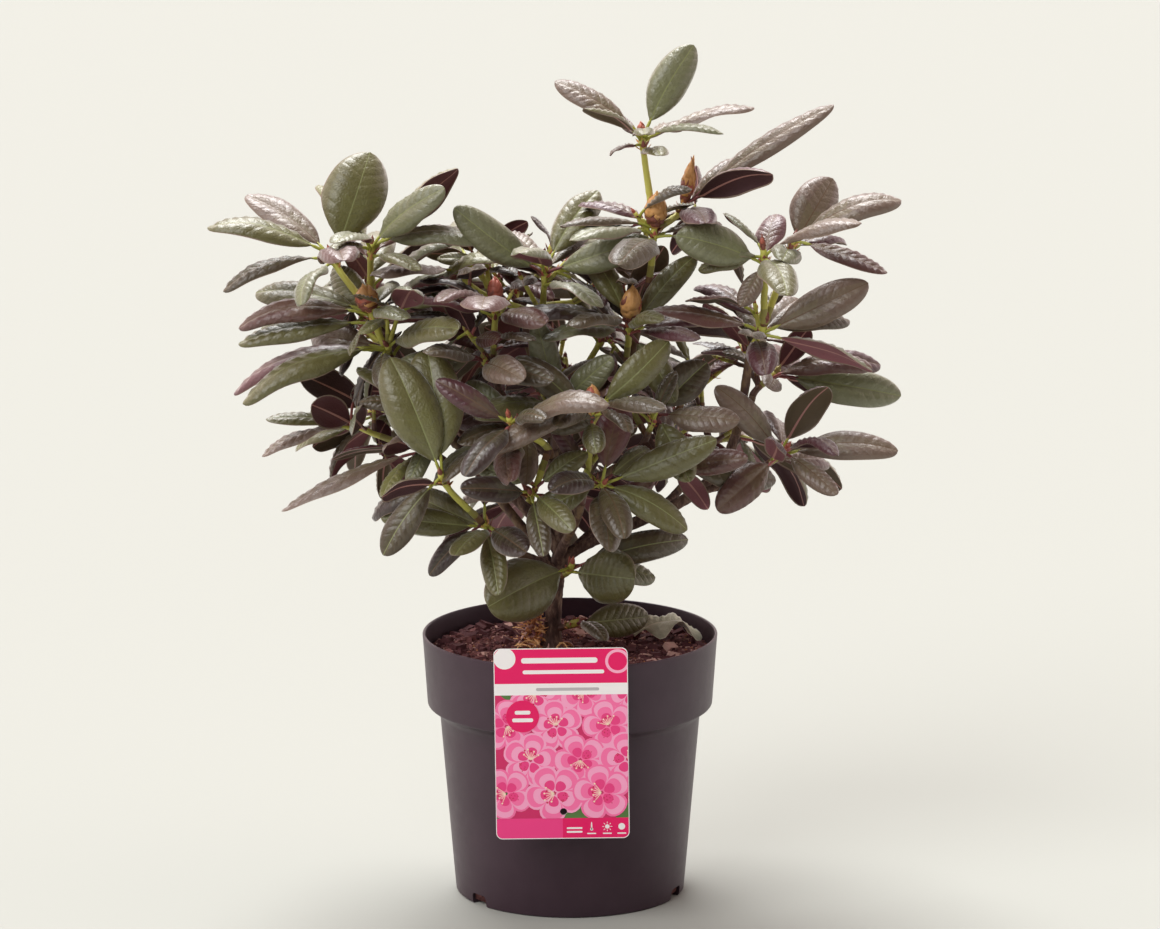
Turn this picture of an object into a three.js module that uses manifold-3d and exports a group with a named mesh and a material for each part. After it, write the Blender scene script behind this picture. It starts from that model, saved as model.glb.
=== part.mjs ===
// A young rhododendron in its nursery pot: trunk, boughs, leaf masses, pot, soil and a hang label.
// Millimetres, +Z up. The origin is the centre of the pot's flat underside; -Y is the label's side.
import * as THREE from "three";
import { mergeVertices } from "three/addons/utils/BufferGeometryUtils.js";
import Module from "manifold-3d";

const wasm = await Module();
wasm.setup();

// ---------------------------------------------------------------- driving sizes
const CLEAR = 0.3; // every piece stands this far from the piece that carries it
const ROUND = 40; // facets round the pot and the soil

const POT = {
  height: 206,
  rimRadius: 115,
  collarBottomRadius: 111.3,
  collarDepth: 54,
  bodyTopRadius: 101.5,
  shoulderDepth: 65,
  footRadius: 89.5,
  round: [1.5, 3.5], // inwards and down, of the collar's lower edge
  wall: 2.2,
  floor: 3,
};
const DRAIN = { width: 17, height: 9, depth: 12, headings: [-142, -23, 97] }; // notches in the wall's foot
const SOIL_TOP = POT.height - 14;

const LABEL = {
  width: 102,
  height: 150,
  thick: 0.9,
  corner: 5,
  centreX: -7,
  topZ: 221.5,
  lean: 0.7, // degrees that it hangs out of true
  hole: { radius: 2.7, x: 0.7, z: 21.5 }, // from the card's middle and its lower edge
  tongue: 28, // width of the strip that folds over the rim
};

const TRUNK = { foot: [-14, 0, SOIL_TOP + CLEAR], tip: [-7, 0, 284], radii: [6.6, 5.2], flare: 4.5 };

// Each bough is one tapering limb: the limb that carries it, how far along that limb it leaves,
// its tip and its radii.
const BOUGHS = [
  { name: "centre_bough", on: "trunk", along: 1, tip: [-22, 8, 412], radii: [5, 3.4] },
  { name: "left_bough", on: "trunk", along: 0.86, tip: [-134, -12, 418], radii: [4.8, 3.4] },
  { name: "right_low_bough", on: "trunk", along: 0.76, tip: [112, 4, 330], radii: [4.9, 4.2] },
  { name: "middle_bough", on: "trunk", along: 0.94, tip: [40, 2, 402], radii: [4.6, 3.3] },
  { name: "front_bough", on: "trunk", along: 0.8, tip: [9, -42, 318], radii: [4, 3] },
  { name: "front_left_bough", on: "trunk", along: 0.66, tip: [-52, -44, 290], radii: [3.8, 3] },
  { name: "back_bough", on: "trunk", along: 0.9, tip: [-8, 76, 352], radii: [4.6, 3.4] },
  { name: "back_left_bough", on: "trunk", along: 0.62, tip: [-76, 62, 334], radii: [4.2, 3.2] },
  { name: "back_right_bough", on: "trunk", along: 0.68, tip: [60, 66, 322], radii: [4.2, 3.2] },
  { name: "right_high_bough", on: "right_low_bough", along: 1, tip: [139, -8, 428], radii: [4, 3.2] },
  { name: "right_side_bough", on: "right_high_bough", along: 0.42, tip: [142, 32, 386], radii: [3.2, 2.8] },
  { name: "lower_right_bough", on: "right_low_bough", along: 0.86, tip: [143, 2, 331], radii: [3.4, 2.9] },
  { name: "right_back_bough", on: "right_low_bough", along: 0.6, tip: [104, 62, 336], radii: [3.4, 2.9] },
  { name: "top_bough", on: "middle_bough", along: 0.6, tip: [60, 0, 478], radii: [3.8, 3.1] },
  { name: "inner_right_bough", on: "middle_bough", along: 0.34, tip: [54, -18, 356], radii: [3.2, 2.7] },
  { name: "centre_left_bough", on: "centre_bough", along: 0.4, tip: [-54, -24, 402], radii: [3.4, 2.9] },
  { name: "inner_left_bough", on: "centre_bough", along: 0.3, tip: [-12, -18, 356], radii: [3.2, 2.7] },
  { name: "front_high_bough", on: "front_bough", along: 0.6, tip: [-14, -60, 358], radii: [2.9, 2.5] },
  { name: "low_left_bough", on: "left_bough", along: 0.42, tip: [-98, -22, 348], radii: [3.6, 3] },
  { name: "left_back_bough", on: "left_bough", along: 0.6, tip: [-126, 44, 402], radii: [3.4, 2.9] },
  { name: "back_high_bough", on: "back_bough", along: 0.7, tip: [-34, 66, 430], radii: [3.5, 3] },
  { name: "back_low_bough", on: "trunk", along: 0.46, tip: [-22, 44, 274], radii: [3.4, 2.8] },
];

// Each mass grows from one stem. A shoot is a twig with a whorl of leaves round its tip: "at" is the
// tip, "off" the shoot that it leaves (the first shoot is the stem) and "along" how far up that one.
// "aim" is the way the tip points and "bud" the radius and length of its bud. "reach" lists where the
// whorl's leading leaves end, from the tip, each with an optional share that its upper face is turned
// to the front instead of to the twig's axis, and an optional slimness. "fill" is how many more leaves
// share out the rest of the whorl, and "twigs" how many further shoots the branching rule adds.
const MASSES = [
  {
    name: "top_leaves",
    on: "top_bough",
    shoots: [
      { at: [65, -10, 529], bud: [6.5, 24], fill: 4, reach: [[-58, 34, 12], [40, 50, 6]] },
      {
        at: [55, 0, 599], off: 0, along: 0.96, bud: [4, 9], fill: 0,
        reach: [
          [42, 14, 68, 0.95], [-68, 12, 39, 0.3], [-64, -26, 34], [81, 14, 25, 0.3], [60, -32, 18],
          [-27, -22, -12],
        ],
      },
      {
        at: [88, 16, 542], off: 0, along: 0.9, aim: [0.2, 0, 1], bud: [5.5, 24], fill: 1,
        reach: [[110, 14, 66, 0.35, 0.27], [76, -34, 34, -0.5], [50, 22, 48, 0.3]],
      },
    ],
  },
  {
    name: "upper_left_leaves",
    on: "left_bough",
    shoots: [
      {
        at: [-153, -25, 466], bud: [6.5, 19], fill: 2,
        reach: [[-97, -8, -2, 0.3, 0.38], [-84, -44, -26, 0.4], [28, -52, 2, 0.3], [-90, 34, 14]],
      },
      {
        at: [-184, -6, 507], off: 0, along: 0.97, aim: [-0.35, -0.05, 1], fill: 1,
        reach: [[31, 22, 74, 0.95, 0.6], [-94, -8, 26, 0.3, 0.38], [-70, 30, 40, 0.3], [-84, -22, -20]],
      },
      {
        at: [-152, -8, 514], off: 0, along: 0.97, aim: [0.1, 0, 1], fill: 1,
        reach: [
          [70, 12, 45, -0.4], [63, -20, 40, 0.6], [84, 14, 12, 0.2], [38, -48, -10], [-34, -46, 6, -0.4],
          [40, 62, 26],
        ],
      },
      {
        at: [-140, -22, 437], off: 0, along: 0.3, aim: [-0.6, -0.3, 0.8], fill: 1,
        reach: [[-96, -24, -46, 0.5], [-104, 14, -30], [-66, 46, -4], [-22, 10, -46, 0, 0.5]],
      },
    ],
  },
  {
    name: "centre_top_leaves",
    on: "centre_bough",
    shoots: [
      {
        at: [-19, 0, 496], fill: 2, bud: [3, 9],
        reach: [[-76, -8, 50, 0.8], [42, 20, 58, 0.5], [80, -22, 22, 0.7], [-34, 44, 22], [-84, 20, -6]],
      },
      {
        at: [-84, 22, 488], off: 0, along: 0.5, aim: [-0.3, 0.1, 1], fill: 4, bud: [2.6, 8],
        reach: [[-10, 12, 66, 0.5]],
      },
      { at: [12, 36, 470], off: 0, along: 0.6, aim: [0.3, 0.5, 1], fill: 4 },
    ],
  },
  {
    name: "upper_right_leaves",
    on: "right_high_bough",
    shoots: [
      {
        at: [150, -15, 454], fill: 1, bud: [3, 9],
        reach: [
          [80, -6, 31, 0.6], [68, 28, 2], [90, -26, -16, -0.4], [-88, -26, 4, 0.3], [-48, 6, -28, -0.5, 0.3],
        ],
      },
      {
        at: [173, 10, 516], off: 0, along: 0.94, aim: [0.3, 0.1, 1], fill: 1,
        reach: [[20, 26, 46, 0.9, 0.6], [81, -8, 38, 0.5], [70, -24, -26, 0.3], [38, 44, -6]],
      },
      {
        at: [148, -22, 512], off: 0, along: 0.9, aim: [-0.1, -0.1, 1], fill: 2, bud: [3, 13],
        reach: [[-76, -16, 6, 0.7, 0.5], [-50, 28, 20, -0.4, 0.5], [10, 50, 24]],
      },
    ],
  },
  {
    name: "right_leaves",
    on: "right_side_bough",
    shoots: [
      {
        at: [160, 40, 404], aim: [0.6, 0.1, 0.8], fill: 2, bud: [2.6, 8],
        reach: [[99, -8, -8, 0.6], [80, 26, 14], [74, -28, 16, 0.3], [-4, -62, 2]],
      },
      { at: [138, 84, 420], off: 0, along: 0.4, aim: [0.3, 0.8, 0.9], fill: 5 },
    ],
  },
  {
    name: "lower_right_leaves",
    on: "lower_right_bough",
    shoots: [
      {
        at: [167, -2, 352], aim: [0.6, -0.2, 0.9], fill: 1, bud: [2.6, 8],
        reach: [
          [28, -14, 71, -0.6, 0.5], [-50, 4, 56, 0.5], [86, -8, 4, 0.4], [56, -46, 12], [36, -48, -22, 0.5],
          [-60, -40, -26, 0.3, 0.5],
        ],
      },
    ],
  },
  {
    name: "middle_leaves",
    on: "middle_bough",
    shoots: [
      {
        at: [46, -16, 456], bud: [6, 26], fill: 3,
        reach: [
          [-90, -12, 14], [-66, -40, -6], [26, -48, 18, 0.5], [84, -24, 24, 0.3], [66, 26, 2],
          [38, -20, -58, 0.5], [-34, 26, 54, 0.6], [44, 36, 46, -0.6],
        ],
      },
    ],
  },
  {
    name: "inner_left_leaves",
    on: "inner_left_bough",
    shoots: [
      { at: [-8, -34, 398], aim: [0, -0.3, 1], fill: 4, reach: [[-20, -14, 64, 0.7], [40, -10, 54, 0.5]] },
      { at: [-44, -46, 372], off: 0, along: 0.3, aim: [-0.6, -0.4, 0.8], fill: 5 },
    ],
  },
  {
    name: "centre_left_leaves",
    on: "centre_left_bough",
    shoots: [
      {
        at: [-57, -22, 472], bud: [4.5, 17], fill: 2,
        reach: [[56, -44, -2], [-66, -12, 8], [-58, 22, 14]],
      },
      {
        at: [-66, -44, 432], off: 0, along: 0.2, aim: [-0.2, -0.7, 0.8], fill: 3,
        reach: [[-44, -52, 20], [52, -46, -10], [-70, -10, -6]],
      },
    ],
  },
  {
    name: "front_leaves",
    on: "front_bough",
    shoots: [
      {
        at: [17, -72, 400], aim: [0, -0.35, 1], bud: [4.5, 17], fill: 1,
        reach: [
          [58, 14, 61, 0.9, 0.5], [69, -28, 27], [-84, -18, -12, 0.4], [-30, -52, 2], [24, -56, -6, -0.6],
          [-56, 18, 40, 0.5],
        ],
      },
      {
        at: [26, -72, 340], off: 0, along: 0.3, aim: [0.5, -0.7, 0.8], fill: 2,
        reach: [[86, -8, 34, 0.6], [64, -14, -24, 0.4], [-40, -48, 10], [-58, -12, -22, 0.4]],
      },
    ],
  },
  {
    name: "front_high_leaves",
    on: "front_high_bough",
    shoots: [
      {
        at: [-46, -92, 396], aim: [-0.2, -0.5, 1], fill: 3, bud: [2.6, 8],
        reach: [[26, -46, 14, 0.4], [-56, -10, 28, 0.4]],
      },
      {
        at: [-30, -88, 336], off: 0, along: 0.12, aim: [-0.2, -0.8, 0.6], fill: 2,
        reach: [[40, -46, 10, 0.5], [4, -46, -34, 0.5], [-50, -30, 8, 0.4]],
      },
    ],
  },
  {
    name: "front_left_leaves",
    on: "front_left_bough",
    shoots: [
      {
        at: [-69, -62, 309], aim: [-0.5, -0.4, 0.8], fill: 1,
        reach: [[-74, -24, 6, 0.5], [-46, -22, -42, 0.4], [46, -52, 10], [30, -40, -34, 0.5]],
      },
      {
        at: [-98, -93, 352], off: 0, along: 0.9, aim: [-0.2, -0.6, 0.9], fill: 1,
        reach: [
          [-36, 16, 90, 0.9, 0.54], [28, 14, 80, 0.8, 0.46], [-44, -44, -4, -0.6], [-52, -8, -64, 0.5],
          [-58, 22, -46],
        ],
      },
    ],
  },
  {
    name: "low_left_leaves",
    on: "low_left_bough",
    shoots: [
      {
        at: [-120, -36, 362], aim: [-0.7, -0.3, 0.6], fill: 1,
        reach: [[-94, -20, -56, 0.5], [-62, 0, -26, -0.5, 0.25], [-20, -58, 16]],
      },
      {
        at: [-172, 4, 374], off: 0, along: 0.5, aim: [-0.8, 0, 0.6], fill: 3, bud: [2.6, 8],
        reach: [[-58, -20, -20], [-46, 34, -26], [-30, -56, 20]],
      },
    ],
  },
  {
    name: "inner_right_leaves",
    on: "inner_right_bough",
    shoots: [
      {
        at: [66, -32, 388], aim: [0.3, -0.3, 1], fill: 2,
        reach: [[42, 20, 50, 0.8, 0.5], [26, -42, -46, 0.5], [62, -26, -6, 0.4], [-28, -44, 22]],
      },
      {
        at: [78, -34, 344], off: 0, along: 0.15, aim: [0.8, -0.5, 0.5], fill: 2,
        reach: [[58, -30, 12, 0.4], [40, -20, -46, 0.4]],
      },
    ],
  },
  {
    name: "foot_leaves",
    on: "trunk",
    along: 0.6,
    shoots: [
      {
        at: [2, -22, 266], aim: [0.1, -0.5, 1], fill: 1,
        reach: [[-76, -30, -28, 0.7, 0.6], [56, -34, -16, 0.7, 0.6], [88, 2, 2, 0.6, 0.42], [70, 36, -18]],
      },
    ],
  },
  {
    name: "soil_leaves",
    on: "trunk",
    along: 0.16,
    shoots: [
      {
        at: [8, -14, 218], aim: [0.7, -0.5, 0.5], fill: 0,
        reach: [[62, -16, 2, 0.3, 0.5], [20, -50, -12, 0.3], [78, 24, -10]],
      },
    ],
  },
  {
    name: "back_leaves", on: "back_bough", twigs: 2,
    shoots: [{ at: [-4, 128, 398], aim: [0, 0.8, 0.8], fill: 6 }],
  },
  {
    name: "back_left_leaves", on: "back_left_bough", twigs: 2,
    shoots: [{ at: [-112, 98, 372], aim: [-0.5, 0.6, 0.8], fill: 6 }],
  },
  {
    name: "back_right_leaves", on: "back_right_bough", twigs: 2,
    shoots: [{ at: [88, 112, 362], aim: [0.4, 0.6, 0.8], fill: 6 }],
  },
  {
    name: "back_high_leaves", on: "back_high_bough", twigs: 2,
    shoots: [{ at: [-44, 96, 462], aim: [-0.2, 0.6, 1], fill: 6, bud: [4, 15] }],
  },
  {
    name: "left_back_leaves", on: "left_back_bough", twigs: 1,
    shoots: [{ at: [-160, 82, 432], aim: [-0.5, 0.5, 0.9], fill: 6, bud: [4, 15] }],
  },
  {
    name: "back_low_leaves", on: "back_low_bough", twigs: 1,
    shoots: [{ at: [-34, 80, 300], aim: [-0.2, 0.8, 0.7], fill: 6 }],
  },
  {
    name: "right_back_leaves", on: "right_back_bough", twigs: 1,
    shoots: [{ at: [134, 104, 344], aim: [0.6, 0.6, 0.6], fill: 6 }],
  },
];

const LEAF = {
  length: [70, 98], // petiole and blade together
  slimness: [0.36, 0.46], // width over length
  petiole: 0.17, // share of the length
  petioleRadius: 1.1,
  thick: 2.2, // at the midrib
  whorl: [1.5, 12], // how far below the twig's tip it leaves
  rootOut: 1.2, // from the twig's line to the petiole's root, inside the bark
  arch: [0.04, 0.12], // rise of the midrib's middle, over the length
  spread: [64, 100], // degrees from the twig's axis
  roll: 16, // degrees of twist either way
  stations: [0, 0.15, 0.42, 0.78, 1], // of the solid's rings, along the leaf
  sheetStations: [0.22, 0.4, 0.6, 0.8, 1], // of the sheet that clearances are measured on
};
const LIMB = { sides: 6, steps: 4, ahead: 0.25, lift: 0.55 }; // it leaves a little ahead and ends lifted
const TWIG = { radii: [2.9, 2.2], sides: 4, steps: 3, lift: 0.5 };
const BUD = { sides: 5, steps: 3, sunk: 3 };
const BRANCHING = {
  along: [0.25, 0.75], // stretch of the stem that the further twigs leave from
  turn: 137.5, // degrees from one twig to the next, round the stem
  ahead: 0.5,
  out: 0.8,
  lift: 0.45,
  length: [50, 72],
  fill: 6,
};
const NUDGE = { tries: 8, turn: 0.13, lift: 0.16 }; // a leaf that is not clear is turned and lifted
const LEAF_GAP = 2.2; // least distance from a leaf to the next leaf's face
const LIMB_GAP = 1.4; // least distance from a leaf to a limb's bark
const POT_GAP = 3; // least height of a leaf over the soil, the rim and the label

// ---------------------------------------------------------------- small helpers
const vec = (a) => new THREE.Vector3(...a);
const mix = (range, t) => range[0] + (range[1] - range[0]) * t;
const UP = vec([0, 0, 1]);
const FRONT = vec([0, -1, 0]);

// A repeatable stream of numbers between 0 and 1.
function dice(seed) {
  let state = (seed * 7919 + 104729) % 2147483647;
  return () => {
    state = (state * 16807) % 2147483647;
    return state / 2147483647;
  };
}

// A closed three.js shape as a solid, and a solid as a mesh's geometry.
function solid(shape) {
  const bare = shape.clone();
  bare.deleteAttribute("normal");
  bare.deleteAttribute("uv");
  const merged = mergeVertices(bare, 1e-4);
  return new wasm.Manifold(
    new wasm.Mesh({
      numProp: 3,
      vertProperties: new Float32Array(merged.attributes.position.array),
      triVerts: new Uint32Array(merged.index.array),
    }),
  );
}

function geometry(body) {
  const mesh = body.getMesh();
  const shape = new THREE.BufferGeometry();
  shape.setAttribute("position", new THREE.BufferAttribute(mesh.vertProperties, 3));
  shape.setIndex(new THREE.BufferAttribute(mesh.triVerts, 1));
  shape.computeVertexNormals();
  return shape;
}

// The largest of a solid's bodies: a scrap that a cut leaves loose is dropped.
function largest(body) {
  const bodies = body.decompose();
  return bodies.reduce((best, b) => (b.volume() > best.volume() ? b : best), bodies[0]);
}

// ---------------------------------------------------------------- limbs
// A limb's line leaves its foot one way and arrives at its tip another, in one smooth bend.
function limbLine(foot, leave, tip, arrive) {
  const third = foot.distanceTo(tip) / 3;
  return new THREE.CubicBezierCurve3(
    foot,
    foot.clone().addScaledVector(leave, third),
    tip.clone().addScaledVector(arrive, -third),
    tip,
  );
}

// A tapering round bar along a line: a cylinder whose rings are moved onto it.
function bar(line, radiusAt, sides, steps, longer = 0) {
  const shape = new THREE.CylinderGeometry(1, 1, 1, sides, steps);
  const frames = line.computeFrenetFrames(steps, false);
  const p = shape.attributes.position;
  for (let i = 0; i < p.count; i++) {
    const step = Math.round((p.getY(i) + 0.5) * steps);
    const radius = radiusAt(step / steps);
    const at = line.getPointAt(step / steps);
    at.addScaledVector(frames.tangents[step], longer * (step === 0 ? -1 : step === steps ? 1 : 0));
    at.addScaledVector(frames.normals[step], p.getX(i) * radius);
    at.addScaledVector(frames.binormals[step], -p.getZ(i) * radius);
    p.setXYZ(i, at.x, at.y, at.z);
  }
  return shape;
}

function samples(line) {
  return Array.from({ length: 9 }, (_, i) => line.getPoint(i / 8));
}

function makeLimb(name, line, radiusAt, sides, steps) {
  return {
    name,
    line,
    radiusAt,
    body: solid(bar(line, radiusAt, sides, steps)),
    grown: solid(bar(line, (t) => radiusAt(t) + CLEAR, sides, steps, CLEAR * 0.9)),
  };
}

const limbs = new Map();

function growTrunk() {
  const foot = vec(TRUNK.foot);
  const tip = vec(TRUNK.tip);
  const line = limbLine(foot, UP, tip, tip.clone().sub(foot).normalize());
  const radiusAt = (t) => mix(TRUNK.radii, t) + TRUNK.flare * Math.exp(-t / 0.09);
  limbs.set("trunk", makeLimb("trunk", line, radiusAt, LIMB.sides + 3, LIMB.steps + 4));
}

// A limb that leaves a parent's side starts on the parent's line; one that goes on from its tip
// starts 0.3 mm past it.
function footOn(parent, along) {
  const forward = parent.line.getTangent(along);
  const foot = parent.line.getPoint(along);
  return { forward, foot: along === 1 ? foot.addScaledVector(forward, CLEAR) : foot };
}

function growBough({ name, on, along, tip, radii }) {
  const { forward, foot } = footOn(limbs.get(on), along);
  const end = vec(tip);
  const chord = end.clone().sub(foot).normalize();
  const leave = along === 1 ? forward : chord.clone().addScaledVector(forward, LIMB.ahead).normalize();
  const arrive = chord.clone().addScaledVector(UP, LIMB.lift).normalize();
  const line = limbLine(foot, leave, end, arrive);
  limbs.set(name, makeLimb(name, line, (t) => mix(radii, t), LIMB.sides, LIMB.steps));
}

// ---------------------------------------------------------------- shoots
// Two directions across an axis.
function across(axis) {
  const side = Math.abs(axis.y) > 0.9 ? vec([1, 0, 0]) : vec([0, 1, 0]);
  const first = side.cross(axis).normalize();
  return [first, axis.clone().cross(first)];
}

function growShoot(from, along, tip, aim, seed, shoot) {
  const { forward, foot } = footOn(from, along);
  const chord = tip.clone().sub(foot).normalize();
  const arrive = aim ?? chord.clone().addScaledVector(UP, TWIG.lift);
  const line = limbLine(foot, along === 1 ? forward : chord, tip, arrive.clone().normalize());
  return {
    ...shoot,
    line,
    tip,
    axis: line.getTangent(1),
    roll: dice(seed),
    leaves: [],
  };
}

// The further shoots of a mass: they leave the stem in turn round it, and lift towards the light.
function branchingRule(stem, count, seed) {
  const throwDie = dice(seed + 500);
  const [first, second] = across(stem.line.getTangent(0.5));
  const turn = throwDie() * 360;
  const twigs = [];
  for (let k = 0; k < count; k++) {
    const along = mix(BRANCHING.along, k / count);
    const heading = THREE.MathUtils.degToRad(turn + k * BRANCHING.turn);
    const way = stem.line.getTangent(along).multiplyScalar(BRANCHING.ahead);
    way.addScaledVector(first, BRANCHING.out * Math.cos(heading));
    way.addScaledVector(second, BRANCHING.out * Math.sin(heading));
    way.addScaledVector(UP, BRANCHING.lift).normalize();
    const tip = stem.line.getPoint(along).addScaledVector(way, mix(BRANCHING.length, throwDie()));
    twigs.push({ along, tip, fill: BRANCHING.fill, aim: way });
  }
  return twigs;
}

// ---------------------------------------------------------------- leaves
// Half the blade's width at t, from 0 at its foot to 1 at its tip.
function halfWidth(t) {
  return Math.sin(Math.PI * Math.min(t, 0.985) ** 0.94) ** 0.62;
}

// A leaf's midrib, the side-to-side direction and its upper face's direction. The upper face looks
// towards the twig's axis, and the midrib arches that way.
function leafFrame(root, tip, axis, arch, roll) {
  const chord = tip.clone().sub(root);
  const length = chord.length();
  const along = chord.clone().normalize();
  const upper = axis.clone().addScaledVector(along, -axis.dot(along));
  if (upper.length() < 0.12) {
    upper.copy(UP).addScaledVector(along, -UP.dot(along));
  }
  upper.normalize().applyAxisAngle(along, roll);
  const side = along.clone().cross(upper);
  const crest = root.clone().addScaledVector(chord, 0.45).addScaledVector(upper, 2 * arch * length);
  return { midrib: new THREE.QuadraticBezierCurve3(root, crest, tip), side, length };
}

// A point of a leaf: t along it, x across it from -1 to 1, and z through it, from 0 at the margins to
// 1 on the midrib's ridge. A leaf can be made wider, and lifted off its place.
function leafPoint(leaf, t, x, z, wider = 0, lift = 0) {
  const blade = (t - LEAF.petiole) / (1 - LEAF.petiole);
  const tangent = leaf.midrib.getTangent(t);
  const upper = leaf.side.clone().cross(tangent);
  const half = blade <= 0 ? LEAF.petioleRadius : Math.max((leaf.width / 2) * halfWidth(blade), 1);
  const point = leaf.midrib.getPoint(t);
  point.addScaledVector(tangent, t === 1 ? wider : 0);
  point.addScaledVector(leaf.side, x * (half + 2 * wider));
  const thick = blade <= 0 ? 1.5 * LEAF.petioleRadius : LEAF.thick;
  return point.addScaledVector(upper, (z - 1 / 3) * thick + lift);
}

// A leaf as a solid: a three-sided bar whose rings are stretched to the blade, with its ridge up.
function leafShape(leaf, wider, lift) {
  const steps = LEAF.stations.length - 1;
  const shape = new THREE.ConeGeometry(1, 1, 3, steps);
  const margin = Math.sin((2 * Math.PI) / 3);
  const p = shape.attributes.position;
  for (let i = 0; i < p.count; i++) {
    const step = Math.round((p.getY(i) + 0.5) * steps);
    const ring = Math.hypot(p.getX(i), p.getZ(i)) < 1e-6 ? 1 : 1 - step / steps;
    const across = p.getX(i) / ring / margin;
    const at = leafPoint(leaf, LEAF.stations[step], across, (p.getZ(i) / ring + 0.5) / 1.5, wider, lift);
    p.setXYZ(i, at.x, at.y, at.z);
  }
  return shape;
}

// The sheet that clearances are measured on: three points at each station of the blade.
function sheet(leaf) {
  const points = [];
  const faces = [];
  const edges = [];
  LEAF.sheetStations.forEach((t, row) => {
    [-1, 0, 1].forEach((x) => points.push(leafPoint(leaf, t, x, 0.5 - 0.5 * x * x)));
    const at = row * 3;
    edges.push([at, at + 1], [at + 1, at + 2]);
    if (row > 0) {
      [0, 1].forEach((c) => faces.push([at + c - 3, at + c - 2, at + c], [at + c - 2, at + c + 1, at + c]));
      [0, 1, 2].forEach((c) => edges.push([at + c - 3, at + c]));
    }
  });
  const centre = points.reduce((sum, p) => sum.add(p), vec([0, 0, 0])).divideScalar(points.length);
  const radius = Math.max(...points.map((p) => p.distanceTo(centre)));
  const planes = faces.map(([a, b, c]) => {
    const u = points[b].clone().sub(points[a]);
    const v = points[c].clone().sub(points[a]);
    return { a: points[a], u, v, normal: u.clone().cross(v).normalize() };
  });
  return { points, edges, planes, centre, radius };
}

// Whether a point's foot on a face's plane lies in the face.
function inFace(plane, point) {
  const w = point.clone().sub(plane.a);
  const uu = plane.u.dot(plane.u);
  const uv = plane.u.dot(plane.v);
  const vv = plane.v.dot(plane.v);
  const wu = w.dot(plane.u);
  const wv = w.dot(plane.v);
  const det = uu * vv - uv * uv;
  const s = (wu * vv - wv * uv) / det;
  const r = (wv * uu - wu * uv) / det;
  return s > -0.06 && r > -0.06 && s + r < 1.06;
}

function nearFace(plane, point, gap) {
  const height = point.clone().sub(plane.a).dot(plane.normal);
  return Math.abs(height) < gap && inFace(plane, point);
}

function crossesFace(plane, from, to) {
  const start = from.clone().sub(plane.a).dot(plane.normal);
  const end = to.clone().sub(plane.a).dot(plane.normal);
  return start * end < 0 && inFace(plane, from.clone().lerp(to, start / (start - end)));
}

function sheetsMeet(one, other) {
  if (one.centre.distanceTo(other.centre) > one.radius + other.radius + LEAF_GAP) {
    return false;
  }
  return [[one, other], [other, one]].some(([a, b]) =>
    b.planes.some(
      (plane) =>
        a.points.some((p) => nearFace(plane, p, LEAF_GAP)) ||
        a.edges.some(([i, j]) => crossesFace(plane, a.points[i], a.points[j])),
    ),
  );
}

function limbMeets(points, radius, blade) {
  const near = points.filter((p) => p.distanceTo(blade.centre) < blade.radius + 20);
  return (
    near.length > 0 &&
    blade.planes.some(
      (plane) =>
        near.some((p) => nearFace(plane, p, radius + LIMB_GAP)) ||
        points.some((p, i) => i > 0 && crossesFace(plane, points[i - 1], p)),
    )
  );
}

// Over the pot a leaf stays above the soil, the rim and the label's top edge.
function aboveThePot(point) {
  const fromAxis = Math.hypot(point.x, point.y);
  const overLabel = point.y < -100 && Math.abs(point.x - LABEL.centreX) < LABEL.width / 2 + 5;
  const overRim = fromAxis > POT.rimRadius - 9;
  const floor = overLabel ? LABEL.topZ : overRim ? POT.height : SOIL_TOP;
  return point.z > floor + POT_GAP;
}

const stems = []; // every limb and twig, as points and a radius
const leaves = [];

// A leaf is measured against the whole of every stem but its own, of which the whorl's end is left out.
function isClear(leaf) {
  const own = (stem) => (stem.shoot === leaf.shoot ? stem.points.slice(0, 6) : stem.points);
  return (
    leaf.sheet.points.every(aboveThePot) &&
    !leaves.some((other) => sheetsMeet(leaf.sheet, other.sheet)) &&
    !stems.some((stem) => limbMeets(own(stem), stem.radius, leaf.sheet))
  );
}

function makeLeaf(shoot, root, reach, turned, slim, throwDie) {
  const tip = shoot.tip.clone().add(reach);
  const arch = mix(LEAF.arch, throwDie());
  const roll = THREE.MathUtils.degToRad(mix([-LEAF.roll, LEAF.roll], throwDie()));
  const faced = shoot.axis.clone().multiplyScalar(1 - Math.abs(turned)).addScaledVector(FRONT, turned);
  const leaf = leafFrame(root, tip, faced, arch, roll);
  leaf.width = leaf.length * (slim ?? mix(LEAF.slimness, throwDie()));
  leaf.shoot = shoot;
  leaf.sheet = sheet(leaf);
  return leaf;
}

// Tries a leaf where it is wanted, then turned and lifted a little at a time, and skips it if none
// of these is clear.
function placeLeaf(shoot, reach, turned = 0, slim = undefined) {
  const throwDie = shoot.roll;
  const down = mix(LEAF.whorl, throwDie()) / shoot.line.getLength();
  const out = reach.clone().addScaledVector(shoot.axis, -reach.dot(shoot.axis)).normalize();
  const root = shoot.line.getPoint(1 - down).addScaledVector(out, LEAF.rootOut);
  for (let attempt = 0; attempt < NUDGE.tries; attempt++) {
    const tried = reach.clone();
    if (attempt > 0) {
      const turn = NUDGE.turn * Math.ceil(attempt / 2) * (attempt % 2 ? 1 : -1);
      tried.applyAxisAngle(shoot.axis, turn);
      tried.addScaledVector(UP, reach.length() * mix([-NUDGE.lift, NUDGE.lift], throwDie()));
    }
    const leaf = makeLeaf(shoot, root, tried, turned, slim, throwDie);
    if (isClear(leaf)) {
      leaves.push(leaf);
      shoot.leaves.push(leaf);
      return;
    }
  }
}

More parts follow.
